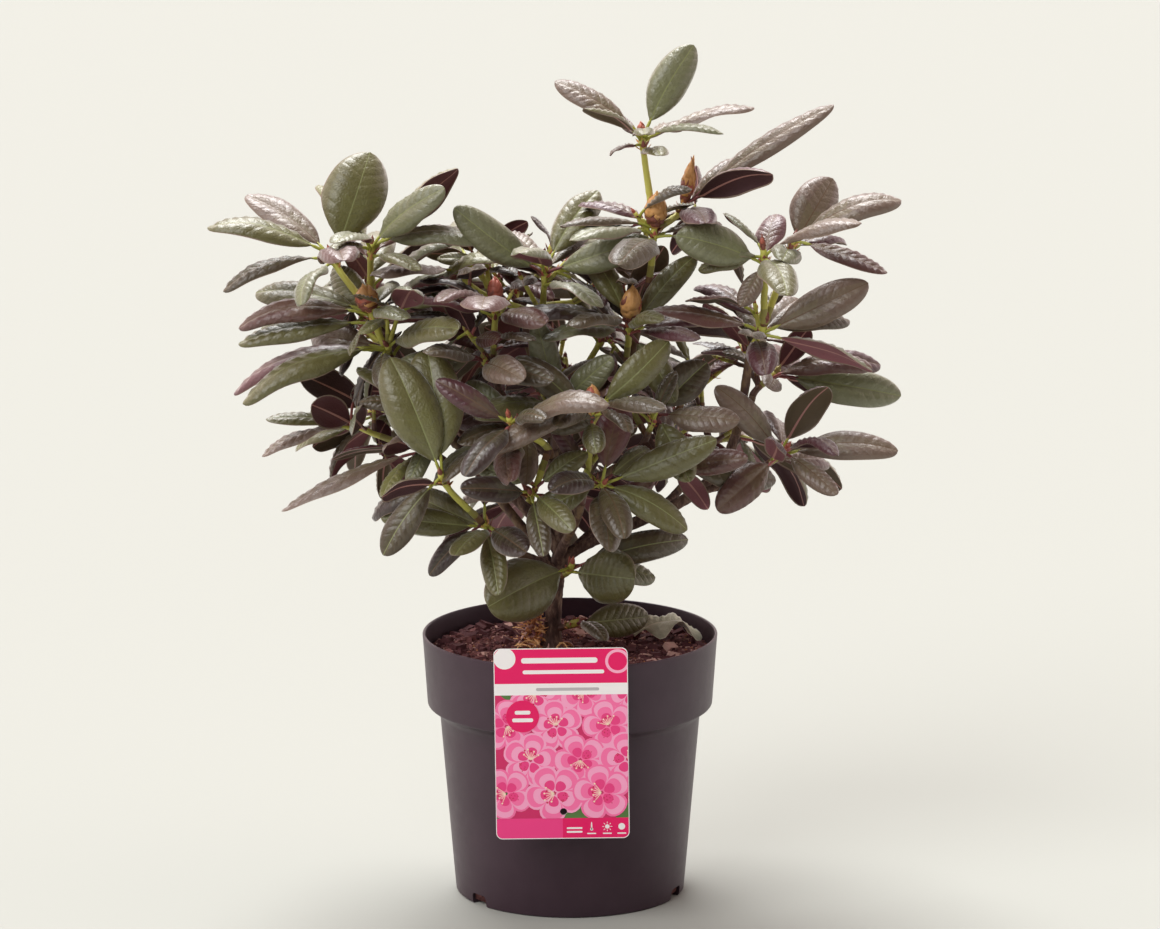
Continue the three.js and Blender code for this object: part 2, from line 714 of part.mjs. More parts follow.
// The middle of the widest stretch round the axis that no leaf has taken yet.
function widestGap(taken, throwDie) {
  if (taken.length === 0) {
    return throwDie() * 2 * Math.PI;
  }
  const sorted = [...taken].sort((a, b) => a - b);
  let best = { size: -1, middle: 0 };
  sorted.forEach((start, i) => {
    const end = i + 1 < sorted.length ? sorted[i + 1] : sorted[0] + 2 * Math.PI;
    if (end - start > best.size + 1e-9) {
      best = { size: end - start, middle: (start + end) / 2 };
    }
  });
  return best.middle + best.size * mix([-0.12, 0.12], throwDie());
}

function fillWhorl(shoot) {
  const throwDie = shoot.roll;
  const [first, second] = across(shoot.axis);
  const headingOf = (reach) => Math.atan2(reach.dot(second), reach.dot(first));
  const taken = (shoot.reach ?? []).map((reach) => headingOf(vec(reach)));
  for (let k = 0; k < (shoot.fill ?? 0); k++) {
    const heading = widestGap(taken, throwDie);
    taken.push(Math.atan2(Math.sin(heading), Math.cos(heading)));
    const spread = THREE.MathUtils.degToRad(mix(LEAF.spread, throwDie()));
    const reach = shoot.axis.clone().multiplyScalar(Math.cos(spread));
    reach.addScaledVector(first, Math.cos(heading) * Math.sin(spread));
    reach.addScaledVector(second, Math.sin(heading) * Math.sin(spread));
    placeLeaf(shoot, reach.multiplyScalar(mix(LEAF.length, throwDie())));
  }
}

// ---------------------------------------------------------------- the plant
growTrunk();
BOUGHS.forEach(growBough);

const masses = MASSES.map(({ name, on, along, twigs, shoots: wanted }, m) => {
  const seed = (m + 1) * 20;
  const parent = limbs.get(on);
  const shoots = [];
  wanted.forEach((shoot, k) => {
    const from = k === 0 ? parent : shoots[shoot.off];
    const start = k === 0 ? (along ?? 1) : shoot.along;
    const aim = shoot.aim ? vec(shoot.aim) : null;
    shoots.push(growShoot(from, start, vec(shoot.at), aim, seed + k, shoot));
  });
  branchingRule(shoots[0], twigs ?? 0, seed).forEach((twig) => {
    shoots.push(growShoot(shoots[0], twig.along, twig.tip, twig.aim, seed + shoots.length, twig));
  });
  return { name, shoots };
});

limbs.forEach((limb) => stems.push({ points: samples(limb.line), radius: limb.radiusAt(0.5) }));
masses.forEach((mass) =>
  mass.shoots.forEach((shoot) => {
    stems.push({ shoot, points: samples(shoot.line), radius: mix(TWIG.radii, 0.5) });
  }),
);

masses.forEach((mass) =>
  mass.shoots.forEach((shoot) =>
    (shoot.reach ?? []).forEach(([x, y, z, turned, slim]) => placeLeaf(shoot, vec([x, y, z]), turned, slim)),
  ),
);
masses.forEach((mass) => mass.shoots.forEach(fillWhorl));

// A bud is a short spindle on the twig's tip.
function budShape(shoot, grow) {
  const [radius, length] = shoot.bud;
  const base = shoot.tip.clone().addScaledVector(shoot.axis, -BUD.sunk);
  const line = new THREE.LineCurve3(base, shoot.tip.clone().addScaledVector(shoot.axis, length));
  const swell = (t) => Math.max(radius * Math.sin(Math.PI * (0.1 + 0.88 * t) ** 0.85), 0.5) + grow;
  return bar(line, swell, BUD.sides, BUD.steps, grow);
}

function massSolid(mass, grow) {
  const pieces = [];
  mass.shoots.forEach((shoot) => {
    const radiusAt = (t) => mix(TWIG.radii, t) + grow;
    pieces.push(solid(bar(shoot.line, radiusAt, TWIG.sides, TWIG.steps, grow)));
    if (shoot.bud) {
      pieces.push(solid(budShape(shoot, grow)));
    }
    const lifts = grow > 0 ? [-grow, 0, grow] : [0];
    shoot.leaves.forEach((leaf) => lifts.forEach((lift) => pieces.push(solid(leafShape(leaf, grow, lift)))));
  });
  return pieces.reduce((sum, piece) => sum.add(piece));
}

// Boughs are cut back from the limbs before them, and masses from the limbs and earlier masses.
const root = new THREE.Group();

function addNode(name, body, material) {
  const mesh = new THREE.Mesh(geometry(largest(body)), material);
  mesh.name = name;
  root.add(mesh);
}

const matte = (color, roughness) => new THREE.MeshStandardMaterial({ color, roughness, metalness: 0 });

const carved = [];
limbs.forEach((limb) => {
  const body = carved.reduce((left, grown) => left.subtract(grown), limb.body);
  addNode(limb.name, body, matte(0x5a4038, 0.85));
  carved.push(limb.grown);
});
masses.forEach((mass) => {
  const body = carved.reduce((left, grown) => left.subtract(grown), massSolid(mass, 0));
  addNode(mass.name, body, matte(0x555a45, 0.6));
  carved.push(massSolid(mass, CLEAR));
});

// ---------------------------------------------------------------- the pot and its soil
// The pot's outer outline from foot to rim, as radius and height.
function potOutline() {
  const shoulder = POT.height - POT.shoulderDepth;
  const collar = POT.height - POT.collarDepth;
  return [
    [POT.footRadius, 0],
    [POT.bodyTopRadius, shoulder],
    [POT.collarBottomRadius - POT.round[0], collar - POT.round[1]],
    [POT.collarBottomRadius, collar],
    [POT.rimRadius, POT.height],
  ];
}

function lathe(outline) {
  const shape = new THREE.LatheGeometry(outline.map(([r, z]) => new THREE.Vector2(r, z)), ROUND);
  return solid(shape.rotateX(Math.PI / 2));
}

function potSolid() {
  const outer = potOutline();
  const inner = outer.slice(1).map(([r, z]) => [r - POT.wall, z]);
  const profile = [
    [0, 0],
    ...outer,
    ...inner.reverse(),
    [POT.footRadius - POT.wall + 0.2, POT.floor],
    [0, POT.floor],
  ];
  let pot = lathe(profile);
  DRAIN.headings.forEach((heading) => {
    const notch = new THREE.BoxGeometry(DRAIN.depth * 2, DRAIN.width, DRAIN.height * 2);
    notch.translate(POT.footRadius, 0, 0);
    notch.rotateZ(THREE.MathUtils.degToRad(heading));
    pot = pot.subtract(solid(notch));
  });
  return pot;
}

function soilSolid() {
  const gap = POT.wall + CLEAR;
  const inner = potOutline().map(([r, z]) => [r - gap, z]);
  const collar = inner[3];
  const rim = inner[4];
  const share = (SOIL_TOP - collar[1]) / (rim[1] - collar[1]);
  return lathe([
    [0, POT.floor + CLEAR],
    [POT.footRadius - gap, POT.floor + CLEAR],
    inner[1],
    inner[2],
    collar,
    [mix([collar[0], rim[0]], share), SOIL_TOP],
    [0, SOIL_TOP],
  ]);
}

addNode("pot", potSolid(), matte(0x3e3538, 0.5));
addNode("soil", soilSolid(), matte(0x322322, 1));

// ---------------------------------------------------------------- the label
// A rounded card with a punched hole hangs on the rim by a strip folded over to the soil behind it.
function cardSolid() {
  const { width, height, corner, thick, hole } = LABEL;
  const outline = new THREE.Shape();
  const [x, z] = [width / 2 - corner, height - corner];
  outline.absarc(x, z, corner, 0, Math.PI / 2, false);
  outline.absarc(-x, z, corner, Math.PI / 2, Math.PI, false);
  outline.absarc(-x, corner, corner, Math.PI, 1.5 * Math.PI, false);
  outline.absarc(x, corner, corner, 1.5 * Math.PI, 2 * Math.PI, false);
  const punched = new THREE.Path();
  punched.absarc(hole.x, hole.z, hole.radius, 0, 2 * Math.PI, true);
  outline.holes.push(punched);
  const card = new THREE.ExtrudeGeometry(outline, { depth: thick, bevelEnabled: false, curveSegments: 4 });
  return card.rotateX(Math.PI / 2);
}

function tongueSolid() {
  const { height, thick, tongue } = LABEL;
  const over = POT.wall + 3.2; // from the card's back to the strip's far side
  const drop = LABEL.topZ - SOIL_TOP - CLEAR;
  const fold = new THREE.Shape([
    new THREE.Vector2(0, height - 3),
    new THREE.Vector2(0, height),
    new THREE.Vector2(over, height),
    new THREE.Vector2(over + 1.5, height - drop + 0.2),
    new THREE.Vector2(over + 0.4, height - drop + 0.2),
    new THREE.Vector2(over - thick, height - thick),
    new THREE.Vector2(thick, height - thick),
    new THREE.Vector2(thick, height - 3),
  ]);
  const strip = new THREE.ExtrudeGeometry(fold, { depth: tongue, bevelEnabled: false });
  strip.rotateX(Math.PI / 2).rotateZ(Math.PI / 2);
  return strip.translate(-tongue / 2, 0, 0);
}

function labelSolid() {
  const front = -(POT.rimRadius + CLEAR);
  const place = (shape) =>
    shape
      .translate(0, 0, -LABEL.height)
      .rotateY(-THREE.MathUtils.degToRad(LABEL.lean))
      .translate(LABEL.centreX, front, LABEL.topZ);
  return solid(place(cardSolid())).add(solid(place(tongueSolid())));
}

addNode("label", labelSolid(), matte(0xd81e5f, 0.35));

export default root;
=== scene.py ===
import math
from types import SimpleNamespace

import bpy
import numpy as np
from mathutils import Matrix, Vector, noise


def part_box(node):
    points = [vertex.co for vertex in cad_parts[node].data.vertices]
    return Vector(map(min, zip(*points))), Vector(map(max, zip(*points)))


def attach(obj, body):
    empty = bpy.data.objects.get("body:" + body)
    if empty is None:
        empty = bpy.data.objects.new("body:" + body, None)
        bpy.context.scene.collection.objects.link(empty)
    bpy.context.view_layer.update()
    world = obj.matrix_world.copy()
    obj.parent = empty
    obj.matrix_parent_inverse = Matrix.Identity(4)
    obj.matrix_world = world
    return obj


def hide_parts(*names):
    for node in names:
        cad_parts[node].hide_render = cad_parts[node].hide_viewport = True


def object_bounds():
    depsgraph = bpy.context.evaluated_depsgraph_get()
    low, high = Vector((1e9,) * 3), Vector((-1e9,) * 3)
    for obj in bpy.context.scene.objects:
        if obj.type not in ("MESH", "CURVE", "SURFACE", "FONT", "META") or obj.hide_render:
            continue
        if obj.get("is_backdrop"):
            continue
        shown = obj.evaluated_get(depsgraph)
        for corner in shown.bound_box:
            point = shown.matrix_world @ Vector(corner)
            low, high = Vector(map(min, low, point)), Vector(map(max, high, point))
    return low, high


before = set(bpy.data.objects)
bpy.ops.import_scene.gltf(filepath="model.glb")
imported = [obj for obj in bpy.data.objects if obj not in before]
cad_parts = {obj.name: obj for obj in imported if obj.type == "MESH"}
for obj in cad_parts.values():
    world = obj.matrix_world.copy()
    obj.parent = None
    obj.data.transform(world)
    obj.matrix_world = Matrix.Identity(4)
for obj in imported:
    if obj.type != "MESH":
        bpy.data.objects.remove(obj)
cad_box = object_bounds()

MM = 0.001
UP = np.array([0.0, 0.0, 1.0])
FRONT = np.array([0.0, -1.0, 0.0])

# ---------------------------------------------------------------- driving sizes, as the solids have them
CLEAR = 0.3
POT = SimpleNamespace(
    height=206, rim=115, collar_bottom=111.3, collar_depth=54, body_top=101.5, shoulder_depth=65,
    foot=89.5, wall=2.2, floor=3,
)
DRAIN = dict(width=17, height=9, depth=12, headings=(-142, -23, 97))
SOIL_TOP = POT.height - 14
LABEL = SimpleNamespace(
    width=102, height=150, thick=0.9, corner=5, centre_x=-7, top_z=221.5, lean=0.7,
    hole_radius=2.7, hole_x=0.7, hole_z=21.5, tongue=28,
)

TRUNK = dict(foot=(-14, 0, SOIL_TOP + CLEAR), tip=(-7, 0, 284), radii=(6.6, 5.2), flare=4.5, fade=0.09)

# Each bough: its name, the limb that carries it, how far along that one it leaves, its tip, its radii.
BOUGHS = [
    ("centre_bough", "trunk", 1, (-22, 8, 412), (5, 3.4)),
    ("left_bough", "trunk", 0.86, (-134, -12, 418), (4.8, 3.4)),
    ("right_low_bough", "trunk", 0.76, (112, 4, 330), (4.9, 4.2)),
    ("middle_bough", "trunk", 0.94, (40, 2, 402), (4.6, 3.3)),
    ("front_bough", "trunk", 0.8, (9, -42, 318), (4, 3)),
    ("front_left_bough", "trunk", 0.66, (-52, -44, 290), (3.8, 3)),
    ("back_bough", "trunk", 0.9, (-8, 76, 352), (4.6, 3.4)),
    ("back_left_bough", "trunk", 0.62, (-76, 62, 334), (4.2, 3.2)),
    ("back_right_bough", "trunk", 0.68, (60, 66, 322), (4.2, 3.2)),
    ("right_high_bough", "right_low_bough", 1, (139, -8, 428), (4, 3.2)),
    ("right_side_bough", "right_high_bough", 0.42, (142, 32, 386), (3.2, 2.8)),
    ("lower_right_bough", "right_low_bough", 0.86, (143, 2, 331), (3.4, 2.9)),
    ("right_back_bough", "right_low_bough", 0.6, (104, 62, 336), (3.4, 2.9)),
    ("top_bough", "middle_bough", 0.6, (60, 0, 478), (3.8, 3.1)),
    ("inner_right_bough", "middle_bough", 0.34, (54, -18, 356), (3.2, 2.7)),
    ("centre_left_bough", "centre_bough", 0.4, (-54, -24, 402), (3.4, 2.9)),
    ("inner_left_bough", "centre_bough", 0.3, (-12, -18, 356), (3.2, 2.7)),
    ("front_high_bough", "front_bough", 0.6, (-14, -60, 358), (2.9, 2.5)),
    ("low_left_bough", "left_bough", 0.42, (-98, -22, 348), (3.6, 3)),
    ("left_back_bough", "left_bough", 0.6, (-126, 44, 402), (3.4, 2.9)),
    ("back_high_bough", "back_bough", 0.7, (-34, 66, 430), (3.5, 3)),
    ("back_low_bough", "trunk", 0.46, (-22, 44, 274), (3.4, 2.8)),
]


def twig(at, off=0, along=1, aim=None, bud=None, fill=0, reach=()):
    """A shoot's plan: tip, the shoot it leaves and where, aim, bud (radius, length), whorl."""
    return SimpleNamespace(at=at, off=off, along=along, aim=aim, bud=bud, fill=fill, reach=reach)


# Each mass: its name, its bough, where on it the stem leaves, how many more twigs the branching rule
# adds, and its shoots. "reach" lists where the whorl's leading leaves end, from the tip, each with an
# optional share that its face is turned to the front, and an optional slimness.
MASSES = [
    ("top_leaves", "top_bough", 1, 0, [
        twig((65, -10, 529), bud=(6.5, 24), fill=4, reach=[(-58, 34, 12), (40, 50, 6)]),
        twig((55, 0, 599), 0, 0.96, bud=(4, 9), reach=[
            (36, 14, 69, 0.95, 0.5), (-69, 12, 36, 0.3, 0.34), (-63, -26, 28, 0, 0.34),
            (84, 14, 24, 0.3, 0.32), (60, -34, 6, 0.1, 0.32),
            (-27, -22, -12), (-20, 30, 8, 0.4, 0.3),
        ]),
        twig((88, 16, 542), 0, 0.9, (0.2, 0, 1), bud=(4.2, 33), fill=1, reach=[
            (113, 14, 77, 0.2, 0.2), (75, -34, 44, -0.5, 0.36), (53, 22, 43, 0.3, 0.36),
        ]),
    ]),
    ("upper_left_leaves", "left_bough", 1, 0, [
        twig((-153, -25, 466), bud=(6.5, 19), fill=2, reach=[
            (-104, -8, -4, 0.2, 0.34), (-92, -44, -13, 0.3, 0.34), (28, -52, 2, 0.3), (-90, 34, 14),
        ]),
        twig((-184, -6, 507), 0, 0.97, (-0.35, -0.05, 1), fill=1, reach=[
            (29, 22, 78, 0.95, 0.66), (-93, -12, 30, 0.4, 0.34), (-71, 44, 45, 0.2, 0.34),
            (-84, -22, -22, 0.1, 0.3),
        ]),
        twig((-152, -8, 514), 0, 0.97, (0.1, 0, 1), fill=1, reach=[
            (67, 12, 56, -0.4, 0.5), (63, -20, 40, 0.6), (84, 14, 12, 0.2), (38, -48, -10),
            (-34, -46, 6, -0.4), (40, 62, 26),
        ]),
        twig((-140, -22, 437), 0, 0.3, (-0.6, -0.3, 0.8), fill=1, reach=[
            (-115, -38, -27, 0.15, 0.32), (-126, 26, -31, 0.1, 0.26), (-66, 46, -4), (-22, 10, -46, 0, 0.5),
        ]),
    ]),
    ("centre_top_leaves", "centre_bough", 1, 0, [
        twig((-19, 0, 496), bud=(3, 9), fill=2, reach=[
            (-76, -8, 48, 0.8, 0.36), (57, 20, 61, 0.5), (80, -22, 22, 0.7), (-34, 44, 22), (-84, 20, -6),
        ]),
        twig((-84, 22, 488), 0, 0.5, (-0.3, 0.1, 1), bud=(2.6, 8), fill=4),
        twig((12, 36, 470), 0, 0.6, (0.3, 0.5, 1), fill=4),
    ]),
    ("upper_right_leaves", "right_high_bough", 1, 0, [
        twig((150, -15, 454), bud=(3, 9), fill=1, reach=[
            (80, -6, 31, 0.6), (68, 28, 2), (84, -34, -30, -0.4, 0.32), (-86, -26, 14, 0.3, 0.34),
        ]),
        twig((173, 10, 516), 0, 0.94, (0.3, 0.1, 1), fill=1, reach=[
            (30, 26, 43, 0.85, 0.66), (81, -8, 38, 0.5), (70, -24, -24, 0.3, 0.34), (38, 44, -6),
        ]),
        twig((148, -22, 512), 0, 0.9, (-0.1, -0.1, 1), bud=(3, 13), fill=2, reach=[
            (-66, -16, 18, 0.6, 0.5), (-30, 28, 24, -0.4, 0.5), (10, 50, 24), (-16, -14, -42, 0.4, 0.5),
            (-46, -20, -18, 0.3, 0.46),
        ]),
    ]),
    ("right_leaves", "right_side_bough", 1, 0, [
        twig((160, 40, 404), aim=(0.6, 0.1, 0.8), bud=(2.6, 8), fill=2, reach=[
            (99, -8, -22, 0.6), (83, 28, 11, 0.2, 0.34), (74, -28, 16, 0.3), (-4, -62, 2),
        ]),
        twig((138, 84, 420), 0, 0.4, (0.3, 0.8, 0.9), fill=5),
    ]),
    ("lower_right_leaves", "lower_right_bough", 1, 0, [
        twig((167, -2, 352), aim=(0.6, -0.2, 0.9), bud=(2.6, 8), fill=1, reach=[
            (28, -14, 71, -0.6, 0.5), (-50, 4, 56, 0.5), (87, -8, 8, 0.4, 0.34), (56, -46, 12),
            (34, -48, -27, 0.5), (-55, -40, -36, 0.45, 0.62),
        ]),
    ]),
    ("middle_leaves", "middle_bough", 1, 0, [
        twig((46, -16, 456), bud=(6, 26), fill=3, reach=[
            (-90, -12, 14), (-66, -40, -6), (26, -48, 18, 0.5), (60, -52, 10, 0.2, 0.32), (66, 26, 2),
            (38, -20, -58, 0.5), (-34, 26, 54, 0.6), (44, 36, 46, -0.6), (50, 10, 56, 0.4),
        ]),
    ]),
    ("inner_left_leaves", "inner_left_bough", 1, 0, [
        twig((-8, -34, 398), aim=(0, -0.3, 1), fill=4, reach=[(-20, -14, 64, 0.7), (40, -10, 54, 0.5)]),
        twig((-44, -46, 372), 0, 0.3, (-0.6, -0.4, 0.8), fill=5),
    ]),
    ("centre_left_leaves", "centre_left_bough", 1, 0, [
        twig((-57, -22, 472), bud=(4.5, 17), fill=2, reach=[(56, -44, -2), (-66, -12, 8), (-58, 22, 14)]),
        twig((-66, -44, 432), 0, 0.2, (-0.2, -0.7, 0.8), fill=3, reach=[
            (-44, -52, 20), (52, -46, -10), (-70, -10, -6),
        ]),
    ]),
    ("front_leaves", "front_bough", 1, 0, [
        twig((17, -72, 400), aim=(0, -0.35, 1), bud=(4.5, 17), fill=1, reach=[
            (58, 14, 61, 0.9, 0.5), (69, -28, 27), (-84, -18, -12, 0.4), (-30, -52, 2), (24, -56, -6, -0.6),
            (-56, 18, 40, 0.5),
        ]),
        twig((26, -72, 340), 0, 0.3, (0.5, -0.7, 0.8), fill=2, reach=[
            (86, -8, 34, 0.6), (64, -14, -24, 0.4), (-40, -48, 10), (-58, -12, -22, 0.4),
        ]),
    ]),
    ("front_high_leaves", "front_high_bough", 1, 0, [
        twig((-46, -92, 396), aim=(-0.2, -0.5, 1), bud=(2.6, 8), fill=3, reach=[
            (26, -46, 14, 0.4), (-56, -10, 28, 0.4),
        ]),
        twig((-30, -88, 336), 0, 0.12, (-0.2, -0.8, 0.6), fill=2, reach=[
            (40, -46, 10, 0.5), (4, -46, -34, 0.5), (-50, -30, 8, 0.4),
        ]),
    ]),
    ("front_left_leaves", "front_left_bough", 1, 0, [
        twig((-69, -62, 309), aim=(-0.5, -0.4, 0.8), fill=1, reach=[
            (-74, -24, 6, 0.5), (-42, -8, -39, 0.4, 0.34), (46, -52, 10), (30, -40, -34, 0.5),
        ]),
        twig((-98, -93, 352), 0, 0.9, (-0.2, -0.6, 0.9), fill=1, reach=[
            (-36, 16, 90, 0.9, 0.54), (28, 14, 80, 0.8, 0.46), (-44, -44, -4, -0.6),
            (-46, -8, -60, 0.5, 0.4), (-58, 22, -46),
        ]),
    ]),
    ("low_left_leaves", "low_left_bough", 1, 0, [
        twig((-120, -36, 362), aim=(-0.7, -0.3, 0.6), fill=1, reach=[
            (-101, -20, -47, 0.05, 0.3), (-62, 0, -26, -0.5, 0.25), (-20, -58, 16),
        ]),
        twig((-172, 4, 374), 0, 0.5, (-0.8, 0, 0.6), bud=(2.6, 8), fill=3, reach=[
            (-66, -20, -24), (-46, 34, -26), (-30, -56, 20), (-63, -8, 4, 0.2, 0.34),
        ]),
    ]),
    ("inner_right_leaves", "inner_right_bough", 1, 0, [
        twig((66, -32, 388), aim=(0.3, -0.3, 1), fill=2, reach=[
            (37, 20, 37, 0.8, 0.56), (26, -42, -46, 0.5), (62, -26, -6, 0.4), (-28, -44, 22),
        ]),
        twig((78, -34, 344), 0, 0.15, (0.8, -0.5, 0.5), fill=2, reach=[
            (58, -30, 12, 0.4), (-44, -30, -24, 0.4),
        ]),
    ]),
    ("foot_leaves", "trunk", 0.6, 0, [
        twig((2, -22, 266), aim=(0.1, -0.5, 1), fill=1, reach=[
            (-90, -24, -12, 0.7, 0.66), (47, -36, -5, 0.8, 0.84), (92, 2, 25, 0.6, 0.4),
            (64, 32, -15, 0.3, 0.42),
        ]),
    ]),
    ("soil_leaves", "trunk", 0.16, 0, [
        twig((8, -14, 218), aim=(0.7, -0.5, 0.5), reach=[
            (55, 30, -6, 0.4, 0.46), (19, -40, -4, 0.4, 0.5),
        ]),
    ]),
    ("back_leaves", "back_bough", 1, 2, [twig((-4, 128, 398), aim=(0, 0.8, 0.8), fill=6)]),
    ("back_left_leaves", "back_left_bough", 1, 2, [twig((-112, 98, 372), aim=(-0.5, 0.6, 0.8), fill=6)]),
    ("back_right_leaves", "back_right_bough", 1, 2, [twig((88, 112, 362), aim=(0.4, 0.6, 0.8), fill=6)]),
    ("back_high_leaves", "back_high_bough", 1, 2, [
        twig((-44, 96, 462), aim=(-0.2, 0.6, 1), bud=(4, 15), fill=6),
    ]),
    ("left_back_leaves", "left_back_bough", 1, 1, [
        twig((-160, 82, 432), aim=(-0.5, 0.5, 0.9), bud=(4, 15), fill=6),
    ]),
    ("back_low_leaves", "back_low_bough", 1, 1, [twig((-34, 80, 300), aim=(-0.2, 0.8, 0.7), fill=6)]),
    ("right_back_leaves", "right_back_bough", 1, 1, [
        twig((134, 104, 344), aim=(0.6, 0.6, 0.6), fill=6),
    ]),
]

LEAF = SimpleNamespace(
    length=(70, 98), slimness=(0.36, 0.46), petiole=0.17, thick=2.2, whorl=(1.5, 12), root_out=1.2,
    middle=0.45, arch=(0.04, 0.12), spread=(64, 100), roll=16, stray=0.12, edge_on=0.12,
)
LIMB = dict(ahead=0.25, lift=0.55)
TWIG = dict(radii=(2.9, 2.2), lift=0.5)
GOLDEN_TURN = 137.5
BRANCHING = dict(along=(0.25, 0.75), ahead=0.5, out=0.8, lift=0.45, length=(50, 72), fill=6)
NUDGE = dict(tries=8, turn=0.13, lift=0.16)

# Clearances: between leaves, from a limb, over the pot, and how far round the label and rim it counts.
LEAF_GAP = 2.2
LIMB_GAP = 1.4
POT_GAP = 3
LABEL_ROOM = dict(front=100, aside=5)
RIM_ROOM = 9

# The finer growth that goes on from the solids' shoots.
FINER = SimpleNamespace(
    twigs=2, along=(0.3, 0.82), ahead=0.5, out=0.8, lift=0.5, length=(20, 38), radii=(1.9, 1.5),
    outermost=0.66, bud=(1.7, 5), leaves=5, leaf_length=(40, 66), whorl_leaves=3, whorl_length=(52, 84),
    whorl_depth=(3, 20), tries=6,
)

# Where each stream of dice starts.
SEEDS = SimpleNamespace(
    branching=500, finer=5000, whorl=7000, looks=11, bark=900, twigs=300, buds=600, litter=77, picture=41,
)


# ---------------------------------------------------------------- small helpers
def unit(v):
    return v / np.linalg.norm(v, axis=-1, keepdims=True)


def mix(ends, t):
    return ends[0] + (ends[1] - ends[0]) * t


def dot(a, b):
    return (a * b).sum(axis=-1)


def squared(v, way):
    """What is left of a direction once its part along a way is taken off."""
    return v - (v @ way) * way


def turned_about(v, axis, angle):
    beside, along = np.cross(axis, v), axis * (axis @ v)
    return v * math.cos(angle) + beside * math.sin(angle) + along * (1 - math.cos(angle))


def spoke(first, second, angle):
    """The direction at an angle round an axis, from two directions across it."""
    return first * math.cos(angle) + second * math.sin(angle)


class Dice:
    """A repeatable stream of numbers between 0 and 1."""

    def __init__(self, seed):
        self.state = (seed * 7919 + 104729) % 2147483647

    def throw(self):
        self.state = self.state * 16807 % 2147483647
        return self.state / 2147483647

    def within(self, ends):
        return mix(ends, self.throw())

    def pick(self, choices):
        return choices[int(self.throw() * len(choices)) % len(choices)]


class Line:
    """A Bezier line through its first and last place, drawn towards those between."""

    def __init__(self, *places):
        self.places = [np.asarray(p, float) for p in places]

    def at(self, t):
        t = np.asarray(t, float)[..., None]
        if len(self.places) == 3:
            weights = [(1 - t) ** 2, 2 * (1 - t) * t, t**2]
        else:
            weights = [(1 - t) ** 3, 3 * (1 - t) ** 2 * t, 3 * (1 - t) * t**2, t**3]
        return sum(w * p for w, p in zip(weights, self.places))

    def way(self, t):
        t = np.asarray(t, float)
        return unit(self.at(np.minimum(t + 1e-4, 1)) - self.at(np.maximum(t - 1e-4, 0)))

    def length(self):
        return np.linalg.norm(np.diff(self.at(np.linspace(0, 1, 201)), axis=0), axis=1).sum()


# ---------------------------------------------------------------- limbs and shoots
def limb_line(foot, leave, tip, arrive):
    third = np.linalg.norm(tip - foot) / 3
    return Line(foot, foot + third * leave, tip - third * arrive, tip)


def grow_limbs():
    """The trunk and the boughs: a line each, with its radius at each share of its length."""
    foot, tip = np.array(TRUNK["foot"], float), np.array(TRUNK["tip"], float)
    limbs = {"trunk": SimpleNamespace(
        name="trunk",
        line=limb_line(foot, UP, tip, unit(tip - foot)),
        radius_at=lambda t: mix(TRUNK["radii"], t) + TRUNK["flare"] * np.exp(-t / TRUNK["fade"]),
    )}
    for name, on, along, tip, radii in BOUGHS:
        forward, foot = foot_on(limbs[on], along)
        chord = unit(tip - foot)
        leave = forward if along == 1 else unit(chord + LIMB["ahead"] * forward)
        line = limb_line(foot, leave, np.array(tip, float), unit(chord + LIMB["lift"] * UP))
        limbs[name] = SimpleNamespace(
            name=name, line=line, radius_at=lambda t, radii=radii: mix(radii, t),
        )
    return limbs


def foot_on(parent, along):
    forward = parent.line.way(along)
    foot = parent.line.at(along)
    return forward, (foot + CLEAR * forward if along == 1 else foot)


def across(axis):
    side = np.array([1.0, 0, 0]) if abs(axis[1]) > 0.9 else np.array([0, 1.0, 0])
    first = unit(np.cross(side, axis))
    return first, np.cross(axis, first)


def grow_shoot(parent, along, tip, aim, seed, **own):
    forward, foot = foot_on(parent, along)
    tip = np.array(tip, float)
    chord = unit(tip - foot)
    arrive = unit(chord + TWIG["lift"] * UP if aim is None else np.array(aim, float))
    line = limb_line(foot, forward if along == 1 else chord, tip, arrive)
    return SimpleNamespace(line=line, tip=tip, axis=line.way(1.0), dice=Dice(seed), leaves=[], **own)


def branching_rule(stem, count, seed):
    """The further twigs of a mass leave its stem in turn round it, and lift towards the light."""
    dice = Dice(seed + SEEDS.branching)
    first, second = across(stem.line.way(0.5))
    turn = dice.throw() * 360
    for k in range(count):
        along = mix(BRANCHING["along"], k / count)
        heading = math.radians(turn + k * GOLDEN_TURN)
        way = stem.line.way(along) * BRANCHING["ahead"] + spoke(first, second, heading) * BRANCHING["out"]
        way = unit(way + UP * BRANCHING["lift"])
        tip = stem.line.at(along) + way * dice.within(BRANCHING["length"])
        yield twig(tip, 0, along, way, fill=BRANCHING["fill"])


def grow_masses(limbs):
    masses = []
    for m, (name, on, along, more, plans) in enumerate(MASSES):
        seed = (m + 1) * 20
        shoots = []
        for k, plan in enumerate(plans):
            parent, start = (limbs[on], along) if k == 0 else (shoots[plan.off], plan.along)
            shoots.append(grow_shoot(
                parent, start, plan.at, plan.aim, seed + k, reach=plan.reach, fill=plan.fill,
                bud=plan.bud, radii=TWIG["radii"],
            ))
        for plan in branching_rule(shoots[0], more, seed):
            shoots.append(grow_shoot(
                shoots[0], plan.along, plan.at, plan.aim, seed + len(shoots), reach=(), fill=plan.fill,
                bud=None, radii=TWIG["radii"],
            ))
        masses.append(SimpleNamespace(name=name, shoots=shoots, seed=seed))
    return masses


# ---------------------------------------------------------------- room between leaves
def half_width(t):
    """The flat sheet's half width along it, as a share of its widest."""
    return np.sin(math.pi * np.minimum(t, 0.985) ** 0.94) ** 0.62


